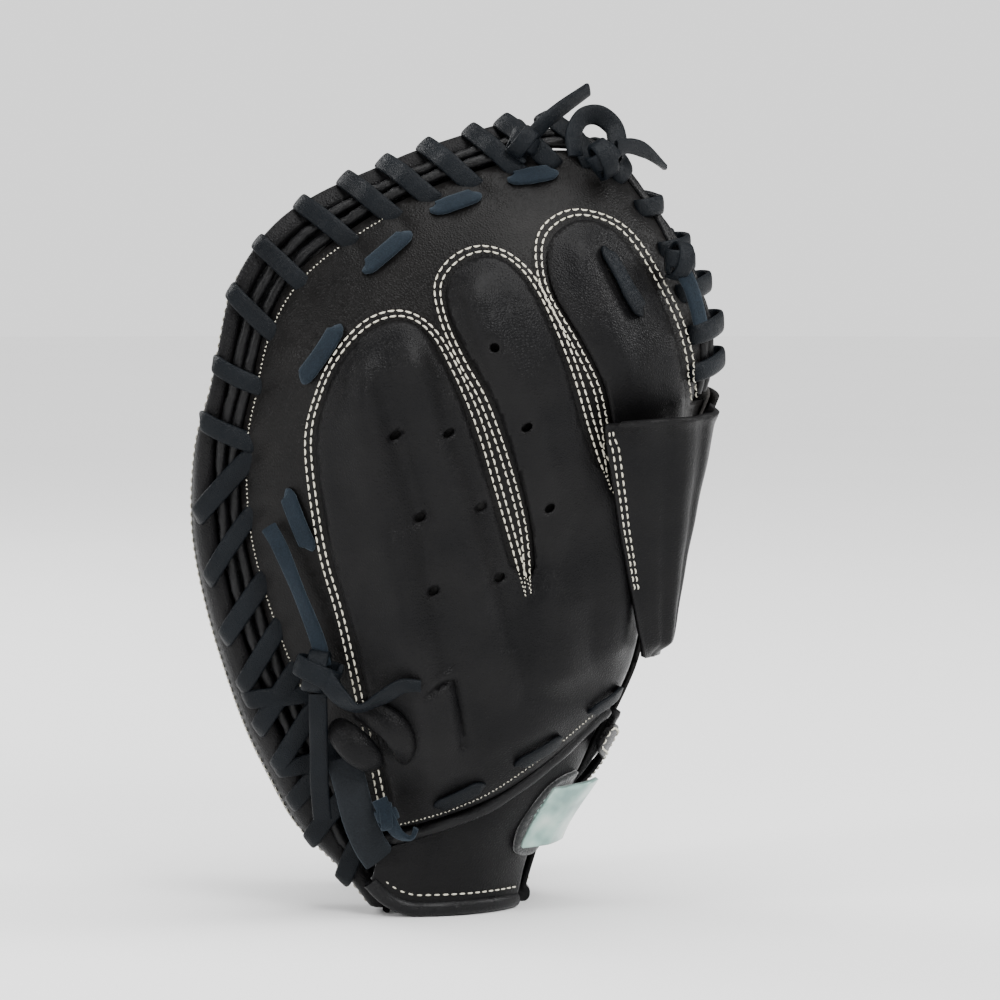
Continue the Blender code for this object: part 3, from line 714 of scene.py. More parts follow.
# ---------------------------------------------------------------- back leather and stalls
# Stitch lines of the finger stalls, square on to the finger back: (across, height).
PINKY_SEAM = ((-27, 49), (-41, 118), (-49, 150), (-54, 190), (-50, 211), (-42, 227), (-31, 238), (-19, 241),
              (-9, 235), (-1, 221), (8, 199), (16, 171), (27, 131))
MIDDLE_SEAM = ((29, 133), (27, 158), (20, 186), (12, 209), (4, 224), (-3, 240), (-5, 253), (1, 262),
               (11, 266), (22, 262), (32, 249), (43, 223), (51, 197), (60, 171))
INDEX_SEAM = ((62, 173), (60, 188), (55, 212), (46, 231), (35, 251), (33, 268), (39, 277), (50, 280),
              (64, 274), (76, 258), (88, 234), (95, 207))
VENTS = ((15, 229), (-22, 195), (-2, 196), (27, 198), (-13, 163), (10, 167), (36, 166), (-8, 134), (17, 139))
# Each finger under the leather: how full it is, then its line.
FINGER_AXES = ((4.6, ((-36, 220), (-31, 186), (-24, 150), (-14, 100), (-6, 60))),
               (4.2, ((-13, 222), (-5, 186), (5, 150), (14, 112), (24, 76))),
               (4.4, ((6, 252), (18, 216), (29, 178), (36, 136), (38, 100))),
               (3.0, ((48, 268), (62, 228), (70, 192), (66, 150), (58, 110))))
# Valleys pressed in between the fingers, through the vent holes.
VALLEYS = (((-27, 214), (-22, 195), (-13, 163), (-8, 134), (-3, 104)),
           ((-5, 212), (-2, 196), (10, 167), (17, 139), (22, 112)),
           ((11, 243), (15, 229), (27, 198), (36, 166), (44, 132)))
DART = ((-10, 93), (-5, 97), (-0.5, 98.5), (1.2, 88), (3, 72))
EDGE_GAP = 2.6
STALL_LIFT = 1.9
STALL_PUFF = 2.4


def shell_outline(half, fold_run, low):
    """Cut edge of the back leather: the laced edge, then down the fold and along the opening."""
    laced = half.edge_spots(np.linspace(3.0, half.length - 4.0, 300), -EDGE_GAP)
    opening = [rib[2:] for rib in half.back_ribs if rib[3] < 96.0]
    fold = [(fold_run, height) for height in np.arange(laced[-1][1] - 8.0, low, -8.0)]
    return np.vstack([laced, fold, spline(opening[::-1], 30)])


def back_shells():
    for half, name, node, fold_run, low in ((FINGER, "back_shell", "outer_back_panel", 1.4, 100.0),
                                            (THUMB, "thumb_shell", "thumb_back_panel", 9.4, 98.0)):
        shape = fill(shell_outline(half, fold_run, low), half.shell)
        piece(name, shape, SHELL, half.body, (node,), "leather", thick=HIDE)


def cut_beyond(seam, low_left, low_right):
    """A lobe's cut edge: its seam moved out, without the ends that would cross the next lobe's."""
    line = offset_line(seen(spline(seam, 90)), -2.0)
    top = int(np.argmax(line[:, 1]))
    keep = [spot for index, spot in enumerate(line) if spot[1] > (low_left if index < top else low_right)]
    return np.array(keep)


STALL_EDGE = np.vstack([
    cut_beyond(PINKY_SEAM, 50.0, 141.0), seen([(28.2, 137.0)]),
    cut_beyond(MIDDLE_SEAM, 141.0, 180.0), seen([(61.2, 177.0)]),
    cut_beyond(INDEX_SEAM, 181.0, 208.0), [(7, 190), (3.5, 165), (3.0, 130), (3.0, 100), (3.6, 87)],
    spline([(9, 79.5), (20, 61.5), (31, 46), (46, 38.5), (55, 37)], 30)])
STALL_LOOP = looped(STALL_EDGE)
STALL_AXES = [(full, seen(spline(axis, 24))) for full, axis in FINGER_AXES]
VALLEY_LINES = [seen(spline(valley, 24)) for valley in VALLEYS]
DART_LINE = seen(DART)
VENT_SPOTS = seen(VENTS)


def stall_skin(half, loop, run, height, ridges):
    """Stall leather on the back: sewn down at its edge and full over the ridges."""
    inward = line_distance(loop, run, height)
    puff = STALL_PUFF * (1.0 - np.exp(-inward / 5.0))
    return half.back_proud(run, height) + STALL_LIFT + puff + ridges * smooth_step(inward / 11.0), inward


def stall_proud(run, height):
    """Outside of the stall leather, with the valleys, the vents and the dart pressed in."""
    ridges = np.zeros(np.shape(run))
    for full, axis in STALL_AXES:
        ridges = np.maximum(ridges, full * bell(line_distance(axis, run, height), 7.6))
    proud, inward = stall_skin(FINGER, STALL_LOOP, run, height, ridges)
    dents = 2.4 * bell(line_distance(DART_LINE, run, height), 1.3)
    for valley in VALLEY_LINES:
        dents = dents + 1.1 * bell(line_distance(valley, run, height), 3.0)
    for x, y in VENT_SPOTS:
        dents = dents + 0.7 * np.exp(-((run - x) ** 2 + (height - y) ** 2) / 14.0)
    return proud - dents + ripple(run, height, 0.5, 30.0) * smooth_step(inward / 10.0)


STALLS = Skin(1.0, stall_proud)


def double_seam(skin, line):
    return skin.seam(line) + skin.seam(offset_line(line, ROW_GAP))


def stalls():
    nodes = ("pinky_ring_stall", "middle_stall", "index_stall")
    shape = fill(STALL_EDGE, STALLS, holes=VENT_SPOTS, hole_size=1.9, pitch=1.6)
    piece("finger_stalls", shape, BLACK, FINGERS, nodes, "leather", thick=THIN_HIDE)
    shapes = []
    for seam in (PINKY_SEAM, MIDDLE_SEAM, INDEX_SEAM):
        shapes += double_seam(STALLS, seen(spline(seam, 120)))
    piece("stall_stitching", joined(shapes), CREAM, FINGERS)


# ---------------------------------------------------------------- welts and edge lacing
def edge_pieces(half, web_share, wraps):
    """The rolled welts, the lacing round them and the back leather's stitch row on one half."""
    along = np.arange(3.0, half.length - 3.0, 2.2)
    for name, out, size in (("welt_inner", 0.0, WELT), ("welt_outer", WELT_PITCH, WELT * 0.94)):
        wobble = 0.16 * np.sin(along * 0.33 + out) + 0.12 * np.sin(along * 0.81)
        line = half.edge_points(along, np.full(len(along), out) + wobble, WELT_LEVEL + 0.5 * wobble)
        ups = half.edge_points(along, np.full(len(along), out), WELT_LEVEL + 3.0) - line
        half.piece(name + "_roll", tube(line, ups, 2.0 * size, sides=16), WELTS, name, "welt")
    shapes = [wrap(half, place, slant) for place, slant in wraps]
    half.piece("edge_lacing", joined(shapes), SMOOTH, "edge_lace", "lace")
    seam = half.edge_spots(np.arange(14.0, half.length * web_share, 0.8), -5.2)
    half.piece("shell_stitching", joined(half.shell.seam(seam)), CREAM)


# A turn of lace in section: out from the edge and proud, from the back leather to the palm flange.
TURN = np.array([(-7.6, 0.0), (-8.6, 4.4), (-8.0, 8.2), (-4.8, 9.6), (0.0, 9.6), (5.0, 9.3), (9.2, 9.2),
                 (12.4, 8.0), (13.8, 5.2), (13.2, 1.0)])


def wrap(half, place, slant):
    """One turn of lace: up through the back leather, over both welts and down into the palm flange."""
    outs, prouds = TURN.T
    across = np.maximum(outs - outs[0], 0.0) / 21.4
    jitter = DICE.uniform(-0.6, 0.6)
    path = spline(np.stack([place + slant * across + jitter, outs, prouds], axis=1), 40)
    line = half.edge_points(path[:, 0], path[:, 1], path[:, 2])
    above = half.edge_points(path[:, 0], path[:, 1] * 0.2 + 0.6, -14.0)
    width = LACE_WIDE + DICE.uniform(-0.5, 0.5)
    share = np.linspace(0.0, 1.0, len(line))
    widths = width * (0.74 + 0.26 * np.sin(np.pi * share) ** 0.5)
    return sweep(line, line - above, widths, LACE_THICK, sides=18, power=0.72)


# Where the lace turns round the finger side's edge, by height, and how far each turn slants.
FINGER_HOLES = (34, 50, 66, 82, 98, 116, 135, 161, 183, 188, 212, 236, 258, 275, 285, 292, 298, 303.5)
FINGER_SLANTS = ((0, -14), (60, -15), (116, -18), (135, -17), (161, -21), (184, -18), (187, 15), (212, 10),
                 (236, 8), (258, 2), (275, -3), (292, -5), (304, -4), (320, 2))
CROSSING_HOLES = (86, 60)
THUMB_SLANTS = ((0, -14), (200, -12), (300, 4), (460, -6))


def finger_wraps():
    """Turns of the lace up the finger edge, down the web edge, and the two that cross at the heel."""
    top = int(np.argmax(FINGER.edge[:, 1]))

    def place(height):
        return float(np.interp(height, FINGER.edge[:top, 1], FINGER.along[:top]))

    turns = [(place(height), float(np.interp(height, *zip(*FINGER_SLANTS)))) for height in FINGER_HOLES]
    turns += [(float(along), -4.0) for along in np.arange(turns[-1][0] + 15.0, FINGER.length - 6.0, 16.0)]
    return turns + [(place(height), 13.0) for height in CROSSING_HOLES]


def thumb_wraps():
    places = np.arange(14.0, THUMB.length - 6.0, 19.5)
    return [(float(place), float(table(THUMB_SLANTS, place))) for place in places]


# ---------------------------------------------------------------- palm, padding and linings
def palm_leather(half, columns):
    """Palm: from the flange under the lacing, over the padded rim, down into the pocket."""
    run, height, proud = half.palm_grid(columns)
    rows = np.arange(run.shape[1])
    proud = proud + ripple(run, height, 0.55, 34.0) * smooth_step((rows - 30.0) / 20.0)
    proud = proud + 0.8 * bell(rows - SEAM_ROW, 1.1)
    places = mitt(half.side * run, np.maximum(height, 2.6), proud)
    middle = columns // 2
    spot = (middle, RIM_ROWS + 10)
    inward = places[spot] - mitt(half.side * run[spot], height[spot], proud[spot] + ABOVE)
    shape = sheet(places, inward, middle, RIM_ROWS + POCKET_ROWS // 2)
    half.piece("palm_hide", shape, PALM, "palm_leather", "leather", thick=HIDE)
    sewing = places[6:-4]
    seam = sewing[:, SEAM_ROW]
    across = sewing[:, SEAM_ROW + 1] - sewing[:, SEAM_ROW - 1]
    normals = unit(np.cross(np.gradient(seam, axis=0), across))
    away = seam - sewing[:, RIM_ROWS - 6]
    normals = np.where(np.sum(normals * away, axis=1, keepdims=True) > 0.0, normals, -normals)
    half.piece("palm_stitching", joined(sewn(seam, normals)), CREAM)


def quilt(half, low, high, first, last, columns, tufted=True):
    """A pad or lining on the pocket part of the palm: a closed quilt between two levels."""
    run, height, proud = half.palm_grid(columns, first, last)[:, :, RIM_ROWS:]
    rows = run.shape[1]
    v, u = shares(columns + 1, rows)
    crown = np.minimum(np.minimum(u, 1.0 - u) * 16.0, np.minimum(v, 1.0 - v) * 9.0)
    crown = np.sqrt(np.clip(crown, 0.0, 1.0))
    low, high = low(proud), high(proud)
    centre = (low + high) / 2.0
    thick = np.maximum(high - low, 0.8) / 2.0
    tufts = 1.0 - 0.10 * (1.0 + np.sin(run * 0.42 + height * 0.10)) * 0.5 if tufted else 1.0
    upper = centre + thick * crown * tufts + ripple(run, height, 0.2, 19.0)
    lower = centre - thick * crown * tufts + ripple(run, height, 0.2, 19.0)
    top = mitt(half.side * run, np.maximum(height, 0.6), upper)
    bottom = mitt(half.side * run, np.maximum(height, 0.6), lower - 0.06).reshape(-1, 3)
    outward = mitt(half.side * run[2, 2], height[2, 2], upper[2, 2] + ABOVE) - top[2, 2]
    top, faces = sheet(top, outward, 2, 2)
    count = len(top)
    rim = [(0, row) for row in range(rows - 1)] + [(column, rows - 1) for column in range(columns)]
    rim += [(columns - column, rows - 1 - row) for column, row in rim]
    indices = [column * rows + row for column, row in rim]
    walls = [(a, b, count + b, count + a) for a, b in zip(indices, indices[1:] + indices[:1])]
    if faces[0] == grid_faces(2, rows)[0]:
        walls = [wall[::-1] for wall in walls]
    faces = faces + [tuple(count + corner for corner in face[::-1]) for face in faces] + walls
    return np.concatenate([top, bottom]), faces


def level(proud):
    """The same proud everywhere, whatever the run and height."""
    return lambda *spots: spots[0] * 0.0 + proud


def padding(half, columns):
    """The palm and heel pads, the palm lining over them and the roll inside the rim."""
    for name, node, first, last, count in (("palm_padding", "palm_pad", PALM_SHARE, 0.99, columns),
                                           ("heel_padding", "heel_pad", 0.005, HEEL_SHARE, columns // 3)):
        shape = quilt(half, lambda proud: proud + PAD_GAP, level(PAD_TOP), first, last, count)
        pad = half.piece(name, shape, FELT, node, "felt")
    shape = quilt(half, level(PAD_TOP + 1.0), level(PAD_TOP + 2.2), PALM_SHARE, 0.99, columns, tufted=False)
    half.piece("palm_lining_hide", shape, LINING, "palm_lining", "lining")
    roll = []
    sizes = []
    for u in np.linspace(0.02, 0.98, 90):
        rib, outward = half.palm_rib(u, back=0.0)
        size = half.rim_size(u)
        spot = rib[:2] + outward * (3.0 + 0.5 * size)
        roll.append(mitt(half.side * spot[0], max(spot[1], 6.0), -5.2 - 13.0 * size))
        sizes.append(1.0 + size * 15.0)
    core = half.piece("rim_core", tube(roll, (0.0, 0.0, 1.0), sizes, sides=20), FELT, "rim_roll", "felt")


def back_lining(half, fold_run, low):
    """Soft lining on the inside of the back leather, clear of the laced edge."""
    inset = 9.0
    outline = shell_outline(half, fold_run + 0.6, low)
    far = line_distance(half.edge, outline[:, 0], outline[:, 1]) > inset
    laced = half.edge_spots(np.linspace(6.0, half.length - 14.0, 200), -inset)

    def proud(run, height):
        return half.back_inside(run, height) - 1.2 + ripple(run, height, 0.15, 21.0)

    shape = fill(np.vstack([laced, outline[far]]), Skin(half.side, proud), pitch=3.0)
    half.piece("back_lining", shape, LINING, "lining", "lining", thick=1.1)


def bridge(name, span, sides, level, material, thick, blend, pleat=0.0):
    """Leather that crosses the fold between the halves."""
    share, up = shares(60, 25)
    height = span[0] + (span[1] - span[0]) * up
    run = sides[0] + (sides[1] - sides[0]) * share
    proud = level(run, height) - pleat * np.sin(np.pi * share) ** 2 + ripple(run, height, 0.2, 17.0)
    part = piece(name, laid(run, height, proud, 2), material, None, (), "leather", thick=thick)
    middle = np.array(sum(span) / 2.0)
    start, end = (mitt(at, middle, float(level(np.array(at), middle))) for at in blend)
    bending(part, start, end)


def fold_pieces():
    def back_level(run, height):
        run = np.abs(run)
        return THUMB.back_inside(run + 6.0, height) * 0.5 + FINGER.back_inside(run, height) * 0.5 - 0.6

    bridge("fold_gusset", (90.0, 206.0), (8.0, -17.0), back_level, SHELL, 0.9, (1.6, -9.4), pleat=1.6)
    bridge("palm_crease", (2.0, 205.0), (7.0, -13.0), level(-12.6), PALM, 1.0, (3.0, -9.0))
    bridge("lining_crease", (24.0, 200.0), (7.0, -13.0), level(-5.2), LINING, 0.8, (3.0, -9.0))


# ---------------------------------------------------------------- web
def web_pieces():
    """One-piece web laced to both halves."""
    rows, columns = 60, 30
    edges = []
    for edge in (spline(FINGER_WEB_EDGE[::-1], 60)[:52], spline(THUMB_WEB_EDGE[::-1], 60) * (-1.0, 1.0)):
        edges.append(spaced(edge, lengths(edge)[-1] / (rows - 1))[:rows])
    share, _ = shares(rows, columns)
    spots = edges[0][:, None] * (1.0 - share[..., None]) + edges[1][:, None] * share[..., None]
    run, height = spots[..., 0], spots[..., 1]
    channel = 1.2 * bell(share - 0.5, 0.03)
    proud = -1.4 - 3.5 * np.sin(np.pi * share) + channel + ripple(run, height, 0.3, 20.0)
    shape = laid(run, height, proud, 5)
    shapes = []
    places, out = raised(run, height, proud)
    for column in (3, 13, 16, 26):
        line = places[3:-3, column]
        normals = unit(np.cross(np.gradient(line, axis=0), places[3:-3, column + 1] - line))
        if out[5, 5] @ normals[len(normals) // 2] < 0.0:
            normals = -normals
        shapes += sewn(line + normals * 0.05 * MM, normals)
    lace = []
    for index in range(9):
        height = 219.0 + 6.4 * index
        slant = 6.0 if index % 2 else -6.0
        path = [(-17.0, height - slant * 0.5, -3.0), (-17.5, height - slant * 0.4, 1.6), (-22.0, height, 2.6),
                (-26.5, height + slant * 0.4, 1.6), (-27.0, height + slant * 0.5, -3.0)]
        line, ups = raised(*spline(path, 16).T)
        lace.append(sweep(line, ups, 5.4, 1.7))
    for part in (piece("web_hide", shape, BLACK, None, ("web_panel",), "leather", thick=2.6),
                 piece("web_stitching", joined(shapes), CREAM, None),
                 piece("web_lacing", joined(lace), SMOOTH, None, ("web_lace",), "lace")):
        bending(part, mitt(2.0, 250.0, 0.0), mitt(-38.0, 250.0, 0.0))


# ---------------------------------------------------------------- laces that lie on the back
def tack(skin, start, end, wide, thick=1.9, rise=1.5):
    """A lace showing between two holes: it comes up, lies over the leather and goes back down."""
    under = 2.6
    share = 0.5 - 0.5 * np.cos(np.linspace(0.0, np.pi, 30))
    arch = np.sin(np.pi * share)
    line = start + (end - start) * share[:, None]
    lift = (rise + under) * np.minimum(arch * 5.6, 1.0) ** 0.8 - under + 0.8 * arch
    near = np.minimum(share, 1.0 - share) * np.linalg.norm(end - start) / (0.42 * wide)
    widths = wide * np.sqrt(1.0 - (1.0 - np.clip(near, 0.04, 1.0)) ** 2)
    return skin.band(line, lift, widths, thick)


RUNNING = (((22, 294), (39, 297)), ((-8, 282), (9, 288)), ((-34, 259), (-18, 273)), ((-58, 216), (-44, 237)),
           ((-64, 172), (-55, 150)))
OPENING = (((-7, 46), (11, 55)), ((22, 63), (38, 73)), ((49, 83), (61, 91)))
INDEX_LACE = ((57, 267), (71, 242))
HEEL_STRAP = ((-43, 66, 20), (-40, 55, 23), (-37, 42, 22.5), (-33, 31, 20), (-29, 24, 16))
HEEL_TAIL = ((-52, 93, 29), (-52, 83, 28), (-52, 70, 24), (-52, 56, 22), (-51, 41, 20))


def lace_piece(name, shapes, material, node):
    return piece(name, joined(shapes), material, FINGERS, (node,), "lace")


def back_laces():
    lace_piece("running_lacing", [tack(FINGER.shell, *seen(ends), 7.4, 2.2) for ends in RUNNING], SUEDE,
               "running_lace")
    lace_piece("opening_lacing", [tack(STALLS, *seen(ends), 6.4) for ends in OPENING], SMOOTH, "opening_lace")
    lace_piece("index_lacing", [tack(STALLS, *seen(INDEX_LACE), 7.0, 2.2, rise=2.8)], SMOOTH, "index_lace")
    lace_piece("heel_strap_lace", strand(HEEL_STRAP, 13.4, 2.6, (0, 4, 0, -6, -10)), FLESH, "heel_strap")


def route_places(path):
    """World places of an (across, height, proud) path on the finger back, and the ways out there."""
    across, height, proud = path.T
    return raised(run_at(across, height, proud), height, proud)


def strand(route, wide, thick=2.0, twist=(0, 0), count=60, taper=0.0):
    """A free lace along an (across, height, proud) route, turning through the twists, in degrees."""
    line, out = route_places(spline(route, count))
    tangent = unit(np.gradient(line, axis=0))
    side = unit(np.cross(tangent, unit(out)))
    ups = np.cross(side, tangent)
    angle = np.radians(spline([[turn] for turn in twist], count))
    ups = ups * np.cos(angle) + side * np.sin(angle)
    widths = wide * (1.0 - taper * smooth_step((np.linspace(0.0, 1.0, count + 1) - 0.55) / 0.45))
    return [sweep(line, ups, widths, thick, power=0.6)]


def knot(across, height, proud, size, tilt, wide):
    """A pulled-up knot: two turns of flat lace round one another."""
    run = float(run_at(across, height, proud))
    centre = mitt(run, height, proud)
    out = unit(mitt(run, height, proud + ABOVE) - centre)
    right = unit(mitt(run - 2.0, height, proud) - centre)
    up = np.cross(right, out)
    angles = np.linspace(-0.35, 2.0 * np.pi + 0.35, 44)
    cosine, sine = np.cos(angles)[:, None], np.sin(angles)[:, None]
    shapes = []
    for turn in range(2):
        lean = math.radians(tilt + 78.0 * turn)
        first = right * math.cos(lean) + up * math.sin(lean)
        spiral = np.linspace(-1.0, 1.0, 44)[:, None] * np.cross(out, first) * wide * 0.22
        along, deep = size[0] - turn, size[1] - turn
        line = centre + (first * cosine * along + out * sine * deep + spiral) * MM
        shapes.append(sweep(line, first * cosine * deep + out * sine * along, wide, 2.0, power=0.6))
    return shapes


def heel_cord():
    """The long lace end that hangs from the heel knot."""
    tail = lace_piece("heel_tail_lace", strand(HEEL_TAIL, TAIL_WIDE, 2.1, count=80), SMOOTH, "heel_tail")
    line = route_places(spline(HEEL_TAIL, 80))[0]
    length = float(lengths(line)[-1])
    tuple(line[0])
    [tuple(point) for point in line]


def knots_and_tails():
    lace_piece("heel_knot_lace", knot(-52, 102, 29, (8.6, 5.2), 20, 8.2), SMOOTH, "heel_knot")
    lace_piece("heel_strand_lace", strand(((-71, 158, 20), (-66, 150, 26), (-59, 133, 28), (-52, 114, 28),
                                           (-50, 104, 28)), 6.4, 2.2, (0, 15, 40, 20, 0)), SUEDE,
               "heel_strand")
    lace_piece("heel_loop_lace", strand(((-50, 101, 33), (-43, 92, 35), (-36, 88, 37), (-28, 92, 39),
                                         (-20, 97, 40), (-13, 97, 40)), 8.0, 2.4, (0, 30, 70, 50, 20, 0),
                                        taper=0.4), SMOOTH, "heel_tail_loop")
    lace_piece("top_knot_lace", knot(58, 302, 21, (6.8, 5.0), 60, 7.4), SMOOTH, "top_knot")
    lace_piece("top_loop_lace", strand(((47, 303, 17), (46, 311, 19), (50, 318, 20), (57, 319, 20.5),
                                        (63, 314, 20.5), (64, 306, 20)), 8.2, 2.3, (35, 25, 15, 15, 25, 40)),
               SMOOTH, "top_loop")
    lace_piece("top_curl_lace", knot(27, 308, 14, (6.0, 4.6), 125, 6.6), SMOOTH, "top_curl")
    lace_piece("top_tail_left_lace", strand(((30, 311, 15), (36, 317, 15.5), (44, 323, 15), (54, 329.5, 13)),
                                            6.4, 2.3, (30, 20, 10, 0), taper=0.15), SMOOTH, "top_tail_left")
    lace_piece("top_tail_right_lace", strand(((63, 306, 22.5), (69, 307, 22), (76, 305, 20), (85, 299, 16.5)),
                                             6.4, 2.3, (10, 15, 10, 0), taper=0.6), SMOOTH, "top_tail_right")
    lace_piece("side_knot_lace", knot(87, 262, 20, (6.8, 5.2), 100, 7.0), SMOOTH, "side_knot")
    lace_piece("side_tail_lace", strand(((88, 258, 21), (91, 252, 20.5), (93, 246, 19.5), (95, 238, 18)),
                                        6.6, 2.0, (10, 0, 0, 0)), SUEDE, "side_tail")
    lace_piece("curl_knot_lace", knot(-26, 43, 27, (4.6, 3.4), 80, 5.0), SUEDE, "curl_knot")
    lace_piece("curl_tail_lace", strand(((-29, 50, 27), (-26, 43, 29), (-22, 36, 29), (-17, 34, 28),
                                         (-15, 38, 27)), 6.2, 2.0, (0, 20, 50, 80, 95), taper=0.2), SUEDE,
               "curl_tail")


# The two folds of hide bunched at the heel: route, width and height.
HEEL_ROLL = ((((-46, 80, 21), (-43, 77, 28), (-38, 72, 31), (-33, 67, 30), (-30, 63, 25)), 13.5, 8.0),
             (((-38, 85, 22), (-31, 84, 29), (-24, 80, 32), (-20, 73, 31), (-19, 65, 25)), 12.5, 7.0))


def heel_roll():
    full = np.sin(np.pi * (np.linspace(0.0, 1.0, 41) * 0.9 + 0.05)) ** 0.5
    shapes = []
    for route, wide, tall in HEEL_ROLL:
        path = spline(route, 40)
        line = route_places(path)[0]
        ups = route_places(path + (0.0, 0.0, ABOVE))[0] - line
        shapes.append(tube(line, ups, wide * full, tall * full, sides=22))
    piece("heel_roll_hide", joined(shapes), BLACK, FINGERS, ("heel_roll",), "leather")


# ---------------------------------------------------------------- finger pad
def hood_spot(u, v):
    """Outside of the pad over the index finger: sewn at its left (u 0), open on top (v 1)."""
    height = 104.0 + 94.0 * v
    seam = run_at(table(((104, 66), (132, 64), (160, 60), (198, 57)), height), height)
    run = seam + (11.0 * v - 5.0 - seam) * u
    height = height + 7.0 * u * v ** 3
    room = (6.0 + 16.0 * v) * smooth_step(v / 0.07) * np.sin(np.pi * u) ** 1.5
    folds = 1.5 * bell(u - 0.30 - 0.05 * v, 0.05) + 1.8 * bell(u - 0.56, 0.045) - 1.3 * bell(u - 0.42, 0.06)
    soft = ripple(run, height, 0.35, 25.0)
    proud = FINGER.back_inside(np.abs(run), height) + 9.6 + LEATHER + room - folds * (0.35 + 0.65 * v) + soft
    return run, height, proud


def finger_pad():
    u, v = shares(80, 90)
    run, height, proud = hood_spot(u, v)
    lip = 1.2 * smooth_step((v - 0.955) / 0.045)
    piece("index_pad_hide", laid(run, height, proud + lip, 9), BLACK, FINGERS, ("finger_pad",), "leather",
          thick=HIDE)
    share = np.linspace(0.30, 0.985, 160)
    shapes = []
    for place in (0.035, 0.075):
        shapes += sewn_on(*hood_spot(share * 0.0 + place, share))
    piece("index_pad_stitching", joined(shapes), CREAM, FINGERS)


# ---------------------------------------------------------------- wrist: binding, strap, closure, badge
def strap_rise(run):
    """How far the strap's lower edge has curved up at its outer end."""
    return 10.0 * np.maximum((run - 34.0) / 20.0, 0.0) ** 2


def strap_top(opening, run):
    return table(opening[::-1], run) - 7.4


def wrist(half, opening, first):
    line = spline(opening, 60)
    run, height = np.maximum(line[:, 0], first + 0.6), line[:, 1]
    proud = half.back_inside(run, height) + 1.6
    roll = 5.4 + 0.25 * np.sin(np.arange(61) * 0.7)
    shape = tube(*raised(half.side * run, height - 2.0, proud), roll)
    half.piece("opening_roll", shape, WELTS, "opening_binding", "welt")

    u, v = shares(36, 90)
    run = first + (54.6 - first) * u
    low = 4.0 + strap_rise(run)
    height = low + (strap_top(opening, run) + 2.5 - low) * v
    proud = STRAP_FACE + 1.2 * np.sin(np.pi * v) + ripple(run, height, 0.35, 24.0)
    places, out = raised(half.side * run, height, proud)
    half.piece("strap_hide", sheet(places, out[9, 9], 9, 9), BLACK, "wrist_strap", "leather", thick=THIN_HIDE)
    places = mitt(half.side * run, np.maximum(height, low + 1.5), proud - 4.2)
    half.piece("strap_fleece", sheet(places, out[9, 9], 9, 9), FLEECE, "strap_lining", "felt", thick=HIDE,
               offset=0.0)

    run = first + (55.0 - first) * np.linspace(0.0, 1.0, 70)
    shape = tube(*raised(half.side * run, 3.4 + strap_rise(run), STRAP + 1.0), 6.8, 6.6, power=0.9)
    half.piece("strap_roll", shape, WELTS, "strap_binding", "welt")
    run = np.linspace(first + 2.0, 53.0, 200)
    face = STRAP_FACE + 0.35 + ripple(run, run * 0.0 + 9.0, 0.35, 24.0)
    half.piece("strap_stitching", joined(sewn_on(half.side * run, 9.0 + strap_rise(run), face)), CREAM)


def closure_spot(strap, u, v, lift=0.0):
    """Run, height and proud on a strap of the closure, its far end drawn in by its rounding."""
    first, last, proud, rounded, tall = strap
    run = first + (last - first) * u
    away = np.abs(run)
    middle = strap_top(THUMB_OPENING, np.maximum(away, 10.0)) - 8.5 + 0.4 * np.maximum(10.0 - away, 0.0)
    narrow = 1.0 - rounded * (np.maximum(u - 0.8, 0.0) / 0.2) ** 2.6 * 0.75
    return run, middle + tall * (v - 0.5) * narrow, proud + lift


def flat_strap(name, strap, body, node, material, slot, thick):
    """A strap with rounded corners, on the closure's slanting line."""
    u, v = shares(22, 60)
    run, height, proud = closure_spot(strap, u, v, thick * 0.9)
    crown = 0.5 * np.sin(np.pi * v) ** 0.5
    piece(name, laid(run, height, proud + crown, 9), material, body, (node,), slot, thick=thick)


def closure_stitching(name, strap, body):
    """One row round a strap, a little inside its edge."""
    turns = np.linspace(-0.5, 0.5, 20) * np.pi
    sides = np.linspace(0.05, 0.93, 70)
    along = np.concatenate([sides, 0.93 + 0.03 * np.cos(turns), sides[::-1]])
    up = np.concatenate([sides * 0.0 + 0.14, 0.5 + 0.36 * np.sin(turns), sides * 0.0 + 0.86])
    shapes = sewn_on(*closure_spot(strap, along, up, 2.7), pitch=3.3, long=2.4, wide=0.85)
    piece(name, joined(shapes), CREAM, body)


# The closure's straps: first and last run, proud, how round the far end is, and height.
CLOSURE_STRAP = (-43.5, -20.5, STRAP_FACE + 1.8, 0.2, 13.4)
CLOSURE_TAB = (-18.4, 2.6, STRAP_FACE + 4.0, 0.9, 12.6)
CLOSURE_TAPE = (-16.5, -11.2, STRAP_FACE + 0.7, 0.0, 12.0)


def closure():
    for name, strap, body in (("closure_strap", CLOSURE_STRAP, THUMBS), ("closure_tab", CLOSURE_TAB, TAB)):
        flat_strap(name + "_hide", strap, body, name, BLACK, "leather", 2.4)
        closure_stitching(name + "_stitching", strap, body)
    flat_strap("closure_tape", CLOSURE_TAPE, THUMBS, "closure_hook_tape", FELT, "felt", 1.2)


BADGE = np.array([(-5.2, 27.5), (9.0, 26.0), (10.0, 50.5), (-3.0, 53.0)])
BADGE_PROUD = STRAP_FACE + 5.0


